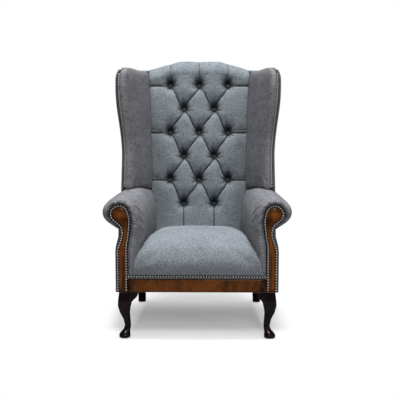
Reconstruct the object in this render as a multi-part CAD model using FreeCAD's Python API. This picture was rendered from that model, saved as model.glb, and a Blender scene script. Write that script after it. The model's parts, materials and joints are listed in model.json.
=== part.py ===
"""Wingback armchair with rolled arms, a buttoned back, a sprung seat and cabriole front legs.

Sizes are millimetres. While it is drawn, y is the setback from the plane of the arm fronts,
x runs across the chair and z up from the floor. Pieces are drawn on the left, where x is
negative, and mirrored for the right. Saving moves everything so that the origin is on the
floor, in the middle of the chair's box.
"""
import FreeCAD
import Part

import math
import os

V = FreeCAD.Vector

# Overall sizes
overall_width = 796.0
overall_height = 1191.0
body_front_width = 684.0
body_rear_width = 610.0
body_depth = 640.0
leg_height = 204.0
seat_height = 445.0
arm_height = 603.0
wing_height = 1153.0

# Seat box
rail_height = 76.0
rail_thickness = 32.0
post_width = 47.0
post_depth = 38.0
back_post_width = 42.0
back_post_depth = 45.0
frame_front = 3.0
block_size = 66.0
block_height = 46.0

# Sheet goods and clearances
fabric = 2.0
leather = 4.0
leather_rim = 1.0
fit = 0.3
hole_clearance = 0.3

# Raked back
rake = math.tan(math.radians(9.5))
rake_start = 300.0
back_padding = 90.0
back_side_drop = 24.0
back_bottom = 300.0
crest_fall = 41.0
crest_flat = 60.0
crest_roll = 60.0
crest_rail_height = 70.0
crest_padding = 26.0
tack_rail_height = 60.0
tack_rail_bottom = 330.0
webbing = 1.5
webbing_width = 50.0

# Seat padding, as it rises behind the front rail
seat_lip = 16.0
hem_drop = 18.0
spring_wire = 3.8
spring_half_width = 24.0
spring_count = 5
spring_bends = 20
seat_base = 8.5
hessian = 1.5

# Scroll arm, with x measured out from the inner line of the arm post
facing_width = 35.0
strip_width = 10.0
shoulder_height = 389.0
neck_height = 440.0
arm_roll_front = 45.0
arm_pad_bottom = 282.0
arm_rail_width = 44.0
arm_rail_height = 44.0

# Wings
wing_board = 22.0
wing_nose = 52.0
wing_strip = 10.0
wing_top_roll = 30.0
wing_bulge = 9.0
wing_flare = 24.5

# Buttons
button_radius = 11.0
button_thickness = 7.0
button_depth = 34.0
pleat_depth = 15.0
pleat_half_width = 8.0
button_side = 139.0
button_half = 73.0
button_rows = 6
button_low = 510.0
button_pitch = 112.5
twine_radius = 1.0

# Decorative nails
nail_radius = 4.75
nail_height = 2.6
nail_pitch = 11.2

# Legs
leg_inset = 11.0
leg_block = 62.0
knee_size = 56.0
ankle_size = 27.0
foot_size = 50.0
foot_out = 9.0
ear_reach = 17.0
rear_leg_top = 40.0
rear_leg_foot = 37.0
rear_leg_sweep = 52.0
rear_leg_splay = 6.0
glide_radius = 11.0
glide_height = 2.0
bolt_radius = 4.0
bolt_in_leg = 40.0
bolt_in_block = 30.0

# Lines that the pieces share
front_half = body_front_width / 2
rear_half = body_rear_width / 2
side_lean = (front_half - rear_half) / body_depth
rail_top = leg_height + rail_height
frame_outer = front_half - fabric - fit
post_inner = frame_outer - post_width
nail_outer = front_half - strip_width
nail_inner = nail_outer - facing_width
back_post_outer = rear_half - fabric - fit - 2.0
back_post_inner = back_post_outer - back_post_width
frame_back = fabric + fit + 0.7
roll_centre_z = arm_height - 70.0
front_reach = seat_lip
rear_reach = body_depth + (overall_height - rake_start) * rake
post_top = wing_height - crest_padding - 4.0
centre_setback = (rear_reach - front_reach) / 2


def back_face(z):
    """Setback of the outside back at height z."""
    return body_depth + max(0.0, z - rake_start) * rake


def post_face(z):
    """Setback of the back frame's front face at height z."""
    return back_face(z) - frame_back - back_post_depth


def pad_face(x, z):
    """Setback of the inside back's padded face, before buttoning."""
    side = back_side_drop * (x / back_post_inner) ** 2
    return post_face(z) - back_padding + side


def crest_height(x):
    """Height of the crest above the floor, at x from the middle."""
    share = min(1.0, max(0.0, (abs(x) - crest_flat) / 200.0))
    return overall_height - crest_fall * share * share * (3 - 2 * share)


def lean(depth):
    """Vector that runs back along the chair's left side for that depth."""
    return V(side_lean * depth, depth, 0)


def across(setback):
    """Places an outline's two numbers as x and z, at one setback."""
    return lambda a, b: V(a, setback, b)


def sideways(x):
    """Places an outline's two numbers as setback and z, at one x."""
    return lambda a, b: V(x, a, b)


def level(z):
    """Places an outline's two numbers as x and setback, at one height."""
    return lambda a, b: V(a, b, z)


def path(place, start, *steps):
    """Edges from start: a step of two numbers is a line, of two points an arc through the first."""
    edges = []
    here = start
    for step in steps:
        if isinstance(step[0], tuple):
            through, end = step
            edges.append(Part.Arc(place(*here), place(*through), place(*end)).toShape())
        else:
            end = step
            edges.append(Part.LineSegment(place(*here), place(*end)).toShape())
        here = end
    return edges


def face_of(place, start, *steps):
    """Flat face inside an outline, which is closed with a line where it needs one."""
    last = steps[-1][1] if isinstance(steps[-1][0], tuple) else steps[-1]
    if math.dist(last, start) > 1e-6:
        steps = steps + (start,)
    return Part.Face(Part.Wire(path(place, start, *steps)))


def loft(wires):
    """Solid through closed wires, straight from each one to the next."""
    return Part.makeLoft(wires, True, True)


def slab(x0, x1, y0, y1, z0, z1):
    """Upright block between two corners."""
    return Part.makeBox(x1 - x0, y1 - y0, z1 - z0, V(x0, y0, z0))


def loop_wire(place, points):
    """Closed wire through points that are taken in turn as a corner and the middle of an edge."""
    edges = []
    count = len(points)
    for i in range(0, count, 2):
        a = place(*points[i])
        middle = place(*points[i + 1])
        b = place(*points[(i + 2) % count])
        off_line = (middle - a).cross(b - a).Length / (b - a).Length
        if off_line < 0.01:
            edges.append(Part.LineSegment(a, b).toShape())
        else:
            edges.append(Part.Arc(a, middle, b).toShape())
    return Part.Wire(edges)


def inset_loop(points, inset):
    """Moves every point of a clockwise loop inwards by inset."""
    moved = []
    count = len(points)
    for i, (a, b) in enumerate(points):
        a0, b0 = points[i - 1]
        a1, b1 = points[(i + 1) % count]
        length = math.hypot(a1 - a0, b1 - b0)
        moved.append((a + inset * (b1 - b0) / length, b - inset * (a1 - a0) / length))
    for i in range(1, count, 2):
        if math.dist(points[i], half_way(points[i - 1], points[(i + 1) % count])) < 0.05:
            moved[i] = half_way(moved[i - 1], moved[(i + 1) % count])
    return moved


def half_way(a, b):
    """Middle of a straight edge."""
    return ((a[0] + b[0]) / 2, (a[1] + b[1]) / 2)


def mirrored(shape):
    """The same piece on the chair's right."""
    return shape.mirror(V(0, 0, 0), V(1, 0, 0))


def turned(shape, normal, at):
    """Copy of a shape drawn about +Z, with +Z turned to normal and its origin moved to at."""
    copy = shape.copy()
    copy.Placement = FreeCAD.Placement(at, FreeCAD.Rotation(V(0, 0, 1), normal))
    return copy


# Side of the chair seen square on, as far back as the outside back's skin
def side_region(back_off, low, high, half_span):
    """Everything in front of a plane that lies back_off inside the outside back."""
    outline = face_of(
        sideways(-half_span),
        (-100.0, low),
        (back_face(low) - back_off, low),
        (back_face(rake_start) - back_off, rake_start),
        (back_face(high) - back_off, high),
        (-100.0, high),
    )
    return outline.extrude(V(2 * half_span, 0, 0))


def back_slab(near, far, low, high, half_span):
    """Raked slab between near and far inside the outside back, from one side to the other."""
    rear = [(back_face(low) - near, low)]
    front = [(back_face(high) - far, high)]
    if low < rake_start < high:
        rear.append((back_face(rake_start) - near, rake_start))
        front.append((back_face(rake_start) - far, rake_start))
    rear.append((back_face(high) - near, high))
    front.append((back_face(low) - far, low))
    outline = face_of(sideways(-half_span), *rear, *front)
    return outline.extrude(V(2 * half_span, 0, 0))


def crest_prism(lowered, low, half_span):
    """Everything under the crest line, lowered by some padding, from front to back of the chair."""
    reach = [half_span * i / 6 for i in range(-6, 7)]
    top = [V(x, -100, crest_height(x) - lowered) for x in reach]
    curve = Part.BSplineCurve()
    curve.interpolate(top)
    left = Part.LineSegment(V(-half_span, -100, low), top[0]).toShape()
    right = Part.LineSegment(top[-1], V(half_span, -100, low)).toShape()
    base = Part.LineSegment(V(half_span, -100, low), V(-half_span, -100, low)).toShape()
    outline = Part.Face(Part.Wire([left, curve.toShape(), right, base]))
    return outline.extrude(V(0, body_depth + 400, 0))


# Scroll outline: the nail line on the arm front, from the foot of its outer side round to its inner side
def scroll_steps(bottom):
    zc = roll_centre_z
    x_out = -nail_outer
    x_in = -nail_inner
    start = (x_out, bottom)
    steps = [
        (x_out, shoulder_height),
        ((x_out + 11, shoulder_height + 28), (x_out + 18, neck_height)),
        ((x_out + 20, neck_height + 24), (x_out + 11, zc - 45)),
        (x_out - 14, zc - 23),
        ((x_out - 27, zc + 7), (x_out - 11, zc + 32)),
        ((x_out + 13, zc + 38), (x_out + 34, zc + 27)),
        ((x_out + 46, zc - 2), (x_out + 49, zc - 37)),
        (x_in + 8, neck_height),
        (x_in, shoulder_height + 11),
        (x_in, bottom),
    ]
    return start, steps


def facing_face(place, bottom):
    start, steps = scroll_steps(bottom)
    return face_of(place, start, *steps)


# Arm post outline: the scroll with the strip of wood outside the nails, which the outside arm covers
def post_steps():
    zc = roll_centre_z
    x_out = -frame_outer
    x_nail = -nail_outer
    start = (x_out, leg_height)
    steps = [
        (x_out, shoulder_height),
        (x_out + 14, neck_height),
        (x_out + 15, zc - 64),
        (x_nail + 11, zc - 45),
        (x_nail - 14, zc - 23),
        ((x_nail - 27, zc + 7), (x_nail - 11, zc + 32)),
        ((x_nail + 13, zc + 38), (x_nail + 34, zc + 27)),
        ((x_nail + 46, zc - 2), (x_nail + 49, zc - 37)),
        (-post_inner + 6, neck_height),
        (-post_inner, shoulder_height + 11),
        (-post_inner, leg_height),
    ]
    return start, steps


def arm_core(depth, setback):
    """Prism of the arm post's outline, run back along the side. It is the hollow inside the arm."""
    start, steps = post_steps()
    moved = across(setback)
    shift = side_lean * setback
    outline = face_of(lambda a, b: moved(a + shift, b), start, *steps)
    return outline.extrude(lean(depth))


# Arm padding: the outline at full size and the outline that is drawn in to the nails
def arm_full():
    zc = roll_centre_z
    out = -overall_width / 2 - side_lean * arm_roll_front
    zt = arm_height
    inner = -front_half + 102.0
    neck = -front_half + 16.0
    corners = [
        (neck, neck_height + 30),
        (neck - 29, zc - 46),
        (neck - 56, zc - 27),
        (out, zc + 7),
        (out + 15, zc + 44),
        (out + 45, zt - 5),
        (out + 81, zt),
        (inner - 37, zt - 11),
        (inner - 12, zt - 42),
        (inner, zc - 13),
        (inner + 2, zc - 73),
        (inner - 2, zc - 160),
        (inner - 18, zc - 228),
    ]
    low_in = (inner - 24, arm_pad_bottom)
    low_out = (-post_inner + 2, arm_pad_bottom)
    up = (-post_inner + 2, neck_height + 30)
    return corners + [
        half_way(corners[-1], low_in),
        low_in,
        half_way(low_in, low_out),
        low_out,
        half_way(low_out, up),
        up,
        half_way(up, corners[0]),
    ]


def arm_drawn():
    zc = roll_centre_z
    out = -nail_outer
    inner = -nail_inner
    corners = [
        (out + 4, neck_height + 30),
        (out - 9, zc - 41),
        (out - 23, zc - 27),
        (out - 37, zc + 7),
        (out - 23, zc + 36),
        (out - 7, zc + 45),
        (out + 13, zc + 48),
        (out + 36, zc + 40),
        (out + 49, zc + 18),
        (out + 57, zc - 13),
        (out + 57, zc - 52),
        (inner + 16, zc - 112),
        (inner + 9, zc - 200),
    ]
    low_in = (inner + 8, arm_pad_bottom)
    low_out = (-post_inner - 1, arm_pad_bottom)
    up = (-post_inner - 1, neck_height + 30)
    return corners + [
        half_way(corners[-1], low_in),
        low_in,
        half_way(low_in, low_out),
        low_out,
        half_way(low_out, up),
        up,
        half_way(up, corners[0]),
    ]


def arm_loop(share, inset):
    """Arm outline between the drawn-in one at share 0 and the full one at share 1."""
    drawn = arm_drawn()
    full = arm_full()
    loop = [
        (a0 + share * (a1 - a0), b0 + share * (b1 - b0))
        for (a0, b0), (a1, b1) in zip(drawn, full)
    ]
    return inset_loop(loop, inset)


def arm_form(inset):
    """Left arm as one solid, rounded at its front and run back past the back frame."""
    wires = []
    for step in (0.0, 0.09, 0.27, 0.55, 1.0):
        share = math.sqrt(1 - (1 - step) ** 2)
        setback = inset + step * (arm_roll_front - inset)
        shift = side_lean * setback
        loop = [(a + shift, b) for a, b in arm_loop(share, inset)]
        wires.append(loop_wire(across(setback), loop))
    run = Part.Face(wires[-1]).extrude(lean(post_face(arm_height) + 40))
    return loft(wires).fuse(run).removeSplitter()


# Wing outline at height z, seen from above
def wing_edge(z):
    """Outer front corner of the wing at height z, as x and setback."""
    rise = (z - arm_height) / (wing_height - arm_height)
    spread = max(0.0, min(1.0, (rise - 0.25) / 0.60))
    low_spread = max(0.0, 1 - max(0.0, rise) / 0.30)
    flare = front_half + 1.0 + wing_flare * spread * spread * (3 - 2 * spread) + 3.5 * low_spread ** 2
    rolled = max(0.0, z - (wing_height - 58.0))
    corner = 62.0 - math.sqrt(max(0.0, 62.0 ** 2 - rolled ** 2))
    sway = 322.0 + 26.0 * math.sin(math.pi * min(1.0, max(0.0, rise) / 0.78)) ** 2
    along = corner * 0.35
    return -(flare - along), sway + corner * 1.6


def wing_points(z, outside, skin, roll, rear_off):
    """Loop of the left wing at height z. skin and roll draw in its padded side and its nose."""
    x_edge, y_edge = wing_edge(z)
    rear_y = back_face(z) - rear_off
    share = (rear_y - y_edge) / (back_face(z) - y_edge)
    x_rear = x_edge + (-rear_half - x_edge) * share + outside
    x_junction = -(222.0 + 0.043 * max(0.0, z - 700.0))
    y_junction = pad_face(x_junction, z) + 4.0
    nose = wing_nose - skin - 0.8 * roll
    front = y_edge + skin + 0.35 * roll
    e0 = (x_rear, rear_y)
    e1 = (x_edge + outside, y_edge + 14 + skin)
    m1 = (x_edge + outside + 2.2 + 0.8 * skin, y_edge + 4.5 + skin)
    e2 = (x_edge + wing_strip + 0.3 * skin, front)
    e3 = (x_edge + wing_strip + 9, front - 1)
    m3 = (x_edge + nose - 9, y_edge + 7 + 0.6 * skin + 0.4 * roll)
    e4 = (x_edge + nose, y_edge + 32)
    e5 = (x_junction - skin - 0.8 * roll, y_junction)
    e6 = (min(x_junction - 2, -back_post_inner), rear_y)
    bulge = half_way(e4, e5)
    m4 = (bulge[0] + wing_bulge, bulge[1])
    return [
        e0, half_way(e0, e1), e1, m1, e2, half_way(e2, e3), e3, m3, e4, m4,
        e5, half_way(e5, e6), e6, half_way(e6, e0),
    ]


wing_levels = (0.0, 0.12, 0.24, 0.36, 0.48, 0.6, 0.71, 0.82, 0.91)


def wing_heights(low, top):
    """Section heights, close together where the top rolls over."""
    straight = top - wing_top_roll
    heights = [low + share * (straight - low) for share in wing_levels]
    return heights + [straight] + [
        straight + wing_top_roll * math.sin(math.radians(angle)) for angle in (26, 52, 80)
    ]


def wing_form(skin, low, outside, rear_off):
    """Left wing as one solid. skin makes it smaller on its padded side, its nose and its top."""
    top = wing_height - skin
    wires = []
    for z in wing_heights(low, top):
        over = max(0.0, z - (top - wing_top_roll)) / wing_top_roll
        roll = wing_top_roll * (1 - math.sqrt(max(0.0, 1 - over * over)))
        loop = wing_points(z, outside + 0.2 * roll, skin, roll, rear_off)
        wires.append(loop_wire(level(z), loop))
    return loft(wires)


def wing_sheet(near, far, nose, rear_off, low, top, nose_far=None):
    """Board or cloth that follows the wing's outer face, between near and far inside it."""
    wires = []
    for share in (0.0, 0.2, 0.4, 0.6, 0.75, 0.87, 0.94, 1.0):
        z = low + share * (top - low)
        x_edge, y_edge = wing_edge(z)
        rear_y = back_face(z) - rear_off
        front_y = y_edge + nose
        slope = (-rear_half - x_edge) / (back_face(z) - y_edge)
        front_x = x_edge + slope * (front_y - y_edge)
        rear_x = x_edge + slope * (rear_y - y_edge)
        corners = [
            (rear_x + near, rear_y),
            (front_x + near, front_y),
            (front_x + far, front_y),
            (rear_x + far, rear_y),
        ]
        wires.append(Part.makePolygon([V(a, b, z) for a, b in corners + corners[:1]]))
    return loft(wires)


# Seat form: outlines across the chair, from the lip in front of the rail to the inside back
seat_stations = (
    (-1.0, 96.0, 22.0, 22.0, 4.0, 26.0, 60.0),
    (-0.8, 76.0, 12.0, 14.0, 5.0, 42.0, 66.0),
    (-0.35, 56.0, 5.0, 9.0, 6.0, 54.0, 76.0),
    (6.0, 40.0, 2.0, 5.0, 6.0, 64.0, 88.0),
    (26.0, 27.0, 0.0, 0.0, 6.0, 76.0, 102.0),
    (60.0, 14.0, 0.0, -2.0, 5.0, 90.0, 118.0),
    (120.0, 3.0, 0.0, -6.0, 4.0, 106.0, 138.0),
    (200.0, 0.0, 0.0, -10.0, 3.0, 120.0, 154.0),
    (270.0, 7.0, 0.0, -14.0, 3.0, 122.0, 160.0),
    (340.0, 19.0, 0.0, -18.0, 3.0, 116.0, 164.0),
    (430.0, 36.0, 0.0, -22.0, 3.0, 104.0, 168.0),
    (560.0, 56.0, 0.0, -30.0, 3.0, 86.0, 172.0),
)


def seat_form(inset):
    """Seat cushion on its rails, crowned across and from front to back, with a full lip."""
    wires = []
    wide = front_half - 58.0
    for i, (setback, fall, lift, narrow, crown, side_fall, reach) in enumerate(seat_stations):
        top = seat_height - fall - inset
        low = rail_top + lift + inset
        half = wide - narrow - inset
        shoulder = top - crown
        side = shoulder - side_fall
        y = setback * seat_lip if setback < 0 else setback
        y = y + inset if i == 0 else y
        wires.append(Part.Wire(path(
            across(y),
            (-half, low),
            (-half, side),
            ((-half + 0.40 * reach, side + 0.756 * side_fall), (-half + reach, shoulder)),
            ((0, top), (half - reach, shoulder)),
            ((half - 0.40 * reach, side + 0.756 * side_fall), (half, side)),
            (half, low),
            (-half, low),
        )))
    return loft(wires)


# Inside back form: upright outlines set side by side across the chair
def back_form(inset, past):
    """Inside back before buttoning. past carries it on beyond its sides, its bottom and its rear."""
    wires = []
    span = back_post_inner + past
    low = back_bottom - past
    roll = crest_roll
    bend = roll * (1 - math.sqrt(0.5))
    for share in (-1.0, -0.75, -0.5, -0.25, 0.0, 0.25, 0.5, 0.75, 1.0):
        x = share * span
        top = crest_height(x) - inset
        turn = top - roll
        behind = fabric + fit - past
        wires.append(Part.Wire(path(
            sideways(x),
            (pad_face(x, rake_start) + inset - (rake_start - low) * rake, low),
            (pad_face(x, turn) + inset, turn),
            ((pad_face(x, turn) + inset + bend, turn + roll - bend), (pad_face(x, top) + inset + roll, top)),
            (back_face(top) - behind, top - 3),
            (back_face(low) - behind, low),
            (pad_face(x, rake_start) + inset - (rake_start - low) * rake, low),
        )))
    return loft(wires)


# Buttons of the inside back, in rows of three and two
def button_places():
    """Rows of x and height, from the top row down."""
    rows = []
    for row in range(button_rows):
        z = button_low + (button_rows - 1 - row) * button_pitch
        xs = (-button_side, 0.0, button_side) if row % 2 == 0 else (-button_half, button_half)
        rows.append([(x, z) for x in xs])
    return rows


rake_angle = math.atan(rake)
back_normal = V(0, -math.cos(rake_angle), math.sin(rake_angle))
back_up = V(0, math.sin(rake_angle), math.cos(rake_angle))


def on_pad(x, z):
    """Point on the unbuttoned face of the inside back."""
    return V(x, pad_face(x, z), z)


def wedge(a, b, outward, depth, half_width, above=26.0):
    """Pleat cutter: a V that runs from a to b, with its point depth under the face."""
    along = b - a
    side = along.cross(outward)
    side.normalize()
    spread = half_width * (depth + above) / depth
    corners = [
        a - outward * depth,
        a + outward * above + side * spread,
        a + outward * above - side * spread,
    ]
    return Part.Face(Part.makePolygon(corners + corners[:1])).extrude(along)


def tuft_cutters(grow):
    """Cutters for the button hollows and the pleats. grow is the cover's thickness for the padding."""
    depth = pleat_depth + 1.5 * grow
    half = pleat_half_width + grow
    cutters = []
    rows = button_places()
    for upper, lower in zip(rows, rows[1:]):
        for x0, z0 in upper:
            for x1, z1 in lower:
                if abs(x0 - x1) < button_side * 0.75:
                    cutters.append(wedge(on_pad(x0, z0), on_pad(x1, z1), back_normal, depth, half))
    for x, z in rows[0]:
        turn = on_pad(x, crest_height(x) - crest_roll)
        cutters.append(wedge(on_pad(x, z), turn + back_up * 30, back_normal, depth, half))
        upward = V(0, 0.1, 1)
        upward.normalize()
        top = V(x, turn.y + crest_roll, crest_height(x))
        cutters.append(wedge(top + V(0, -25, 0), top + V(0, 60, 0), upward, depth, half))
        corner = V(x, turn.y + crest_roll * 0.33, crest_height(x) - crest_roll * 0.29)
        slant = V(0, -1, 1)
        slant.normalize()
        run = V(0, 28, 28)
        cutters.append(wedge(corner - run, corner + run, slant, depth * 0.8, half))
    for x, z in rows[-1]:
        cutters.append(wedge(on_pad(x, z), on_pad(x, back_bottom - 5), back_normal, depth, half))
    for row in rows[::2]:
        for x, z in (row[0], row[-1]):
            edge = math.copysign(back_post_inner + 10, x)
            cutters.append(wedge(on_pad(x, z), on_pad(edge, z), back_normal, depth, half))
    for x, z in [place for row in rows for place in row]:
        low = button_depth + grow
        cone = Part.makeCone(button_radius + 1 + grow, 3.1 * button_radius + grow, low + 10)
        cutters.append(turned(cone, back_normal, on_pad(x, z) - back_normal * low))
    return cutters


def zigzag_spring(x):
    """One sinuous spring, a wire that folds from side to side between the front and back rails."""
    start = frame_front + rail_thickness * 0.6
    end = body_depth - frame_back - rail_thickness * 0.6
    pitch = (end - start) / spring_bends
    radius = pitch / 2
    straight = spring_half_width - radius
    z = rail_top + spring_wire / 2 + fit
    edges = []
    quarter = radius * math.sqrt(0.5)
    for i in range(spring_bends + 1):
        y = start + i * pitch
        side = 1 if i % 2 == 0 else -1
        a = V(x - side * straight, y, z)
        b = V(x + side * straight, y, z)
        edges.append(Part.LineSegment(a, b).toShape())
        if i < spring_bends:
            out = V(b.x + side * radius, y + radius, z)
            mid = V(b.x + side * quarter, y + radius - quarter, z)
            edges.append(Part.Arc(b, mid, out).toShape())
            back = V(b.x, y + pitch, z)
            mid = V(b.x + side * quarter, y + radius + quarter, z)
            edges.append(Part.Arc(out, mid, back).toShape())
    first = edges[0]
    tip = first.valueAt(first.FirstParameter)
    ring = Part.Wire(Part.makeCircle(spring_wire / 2, tip, first.tangentAt(first.FirstParameter)))
    return Part.Wire(edges).makePipeShell([ring], True, False)


def squared_loop(centre_x, centre_y, half_x, half_y, corner):
    """Square with bowed sides; corner is its reach along the diagonals, from 0.71 round to 1 square."""
    loop = []
    for i in range(4):
        angle = math.radians(45 + 90 * i)
        turn = math.radians(90 + 90 * i)
        cx = centre_x + half_x * corner * math.copysign(1, math.cos(angle))
        cy = centre_y + half_y * corner * math.copysign(1, math.sin(angle))
        loop.append((cx, cy))
        loop.append((centre_x + half_x * math.cos(turn), centre_y + half_y * math.sin(turn)))
    return loop


def front_leg():
    """Left cabriole leg, drawn along the diagonal that points out of the chair's corner."""
    top_x = -(front_half - leg_inset - leg_block / 2)
    top_y = leg_inset + leg_block / 2
    height = leg_height - glide_height
    stations = (
        (1.00, 0.0, leg_block, 0.97),
        (0.90, 2.5, leg_block, 0.94),
        (0.80, 6.0, leg_block * 0.98, 0.90),
        (0.68, 9.5, knee_size, 0.85),
        (0.54, 8.0, knee_size * 0.78, 0.79),
        (0.38, 0.0, ankle_size * 1.14, 0.73),
        (0.24, -3.5, ankle_size, 0.71),
        (0.16, 0.0, ankle_size * 1.12, 0.71),
        (0.105, 6.5, foot_size * 0.82, 0.71),
        (0.055, foot_out, foot_size, 0.71),
        (0.015, foot_out, foot_size * 0.96, 0.71),
        (0.0, foot_out, foot_size * 0.90, 0.71),
    )
    wires = []
    for share, out, size, corner in stations:
        z = glide_height + share * height
        x = top_x - out
        y = top_y - out
        wires.append(loop_wire(level(z), squared_loop(x, y, size / 2, size / 2, corner)))
    return loft(wires)


def leg_ear(along_x):
    """Curved bracket beside the knee, under the rail."""
    x = -(front_half - leg_inset - leg_block)
    y = leg_inset + leg_block
    thick = knee_size * 0.62
    low = leg_height - 62.0
    sweep = ((-7.0, low + 15), (8.0, low + 30))
    lobe = ((ear_reach - 1.0, low + 42), (ear_reach, leg_height))
    if along_x:
        y0 = leg_inset + (leg_block - thick) / 2
        outline = face_of(
            lambda a, b: V(x + a, y0, b), (-18.0, leg_height), (-18.0, low - 6), (-15.0, low), sweep, lobe)
        return outline.extrude(V(0, thick, 0))
    x0 = -(front_half - leg_inset - (leg_block - thick) / 2)
    outline = face_of(
        lambda a, b: V(x0, y + a, b), (-18.0, leg_height), (-18.0, low - 6), (-15.0, low), sweep, lobe)
    return outline.extrude(V(thick, 0, 0))


def rear_leg():
    """Left rear leg, square and swept back."""
    x = -(back_post_inner + back_post_width / 2)
    y = body_depth - frame_back - back_post_depth / 2
    height = leg_height - glide_height
    wires = []
    for share in (1.0, 0.75, 0.5, 0.25, 0.0):
        sweep = rear_leg_sweep * (1 - share) ** 1.6
        splay = rear_leg_splay * (1 - share)
        size = rear_leg_foot + (rear_leg_top - rear_leg_foot) * share
        loop = squared_loop(x - splay, y + sweep, size / 2, size / 2, 0.94)
        wires.append(loop_wire(level(glide_height + share * height), loop))
    return loft(wires)


def nail_head():
    """Domed nail head, drawn on the origin and pointing along +Z."""
    radius = (nail_height ** 2 + nail_radius ** 2) / (2 * nail_height)
    latitude = math.degrees(math.asin((radius - nail_height) / radius))
    dome = Part.makeSphere(radius, V(0, 0, 0), V(0, 0, 1), latitude, 90, 360)
    dome.translate(V(0, 0, nail_height - radius))
    return dome


def nails_on(wire, normal=None):
    """Nail heads along a wire, evenly spaced at about the nail pitch. By itself each faces forward."""
    count = max(2, round(wire.Length / nail_pitch))
    points = wire.discretize(Number=2 * count + 1)
    head = nail_head()
    heads = []
    for i in range(1, 2 * count, 2):
        outward = normal or V(1, 0, 0).cross(points[i + 1] - points[i - 1])
        heads.append(turned(head, outward, points[i]))
    return heads


# Node list
nodes = {}


def add(name, shape):
    nodes[name] = shape


def add_pair(name, shape):
    """Saves a left piece and its mirror image."""
    nodes[name + "_left"] = shape
    nodes[name + "_right"] = mirrored(shape)


def hole(x, y, z0, z1, radius):
    return Part.makeCylinder(radius, z1 - z0, V(x, y, z0))


# Bolt places
front_bolt_x = -(post_inner - 6.0)
front_bolt_y = frame_front + post_depth + 10.0
rear_bolt_x = -(back_post_inner + back_post_width / 2)
rear_bolt_y = body_depth - frame_back - back_post_depth / 2


def build_seat_box():
    """Rails, posts and corner blocks of the beech frame."""
    start, steps = post_steps()
    post = face_of(across(frame_front), start, *steps).extrude(lean(post_depth))
    add_pair("arm_post", post)
    half = post_inner - side_lean * post_depth - fit
    add("front_rail", slab(
        -half, half, frame_front, frame_front + rail_thickness, leg_height, rail_top))
    y0 = frame_front + post_depth + fit
    y1 = body_depth - frame_back - back_post_depth - fit
    shift = side_lean * y0
    rail = face_of(
        across(y0),
        (-frame_outer + shift, leg_height), (-frame_outer + shift, rail_top),
        (-frame_outer + rail_thickness + shift, rail_top),
        (-frame_outer + rail_thickness + shift, leg_height))
    add_pair("side_rail", rail.extrude(lean(y1 - y0)))
    half = back_post_inner - fit
    rear = body_depth - frame_back
    add("back_rail", slab(-half, half, rear - rail_thickness, rear, leg_height, rail_top))
    posts = back_slab(frame_back, frame_back + back_post_depth, leg_height, post_top, back_post_outer)
    right = slab(back_post_inner, back_post_outer + 5, 0, 1000, 0, overall_height)
    post = posts.common(mirrored(right))
    add_pair("back_post", post.cut(hole(
        rear_bolt_x, rear_bolt_y, leg_height - 1, leg_height + bolt_in_block + 1,
        bolt_radius + hole_clearance)))
    crest = crest_prism(crest_padding, 700, half).cut(
        crest_prism(crest_padding + crest_rail_height, 600, half + 50))
    add("crest_rail", crest.common(back_slab(
        frame_back, frame_back + back_post_depth, 900, overall_height + 50, half)))
    add("tack_rail", back_slab(
        frame_back, frame_back + back_post_depth, tack_rail_bottom,
        tack_rail_bottom + tack_rail_height, half))
    build_blocks()


def build_blocks():
    """Glued and screwed corner blocks: two behind the front rail and two before the back rail."""
    rail_inside = frame_outer - rail_thickness
    y0 = frame_front + post_depth + fit
    x0 = -rail_inside + side_lean * (y0 + block_size) + fit
    front = face_of(level(leg_height), (x0, y0), (x0 + block_size, y0), (x0, y0 + block_size))
    front = front.extrude(V(0, 0, block_height))
    front = front.cut(hole(
        front_bolt_x, front_bolt_y, 0, 500, bolt_radius + hole_clearance))
    y1 = body_depth - frame_back - rail_thickness - fit
    x1 = -(back_post_inner - fit)
    y1 = min(y1, body_depth - frame_back - back_post_depth - fit)
    rear = face_of(
        level(leg_height), (x1, y1), (x1 + block_size, y1), (x1 + 8, y1 - block_size), (x1, y1 - block_size))
    rear = rear.extrude(V(0, 0, block_height))
    left = [front, rear]
    add("corner_blocks", Part.makeCompound(left + [mirrored(s) for s in left]))


def build_springs():
    """Sinuous springs, their clips, and the hessian over them."""
    step = (post_inner - 20.0) * 2 / (spring_count + 1)
    xs = [(i - (spring_count - 1) / 2) * step for i in range(spring_count)]
    add("seat_springs", Part.makeCompound([zigzag_spring(x) for x in xs]))
    clips = []
    gap = fit
    high = rail_top + spring_wire + 2 * fit
    rows = (
        frame_front + rail_thickness * 0.6,
        body_depth - frame_back - rail_thickness * 0.6,
    )
    for x in xs:
        for y in rows:
            around = slab(x - 9, x + 9, y - 5, y + 5, rail_top, high + 1.5)
            opening = slab(
                x - 10, x + 10, y - spring_wire / 2 - gap, y + spring_wire / 2 + gap,
                rail_top - 1, high)
            clips.append(around.cut(opening))
    add("spring_clips", Part.makeCompound(clips))
    half = post_inner - 40.0
    rear = post_face(rail_top) - 60.0
    rear_half_width = half - side_lean * rear
    z = rail_top + seat_base - hessian
    sheet = face_of(
        level(z), (-half, frame_front + 6), (half, frame_front + 6), (rear_half_width, rear),
        (-rear_half_width, rear))
    add("seat_hessian", sheet.extrude(V(0, 0, hessian)))


def outside_arm_line(depth, inset, waist):
    """Outline of the outside arm at one depth. waist says how much of the scroll's waist it follows."""
    x = -front_half + inset + side_lean * depth
    return [
        (x, leg_height + 1),
        (x, shoulder_height),
        (x + 14 * waist, neck_height),
        (x + 15 * waist, neck_height + 60),
    ]


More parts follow.
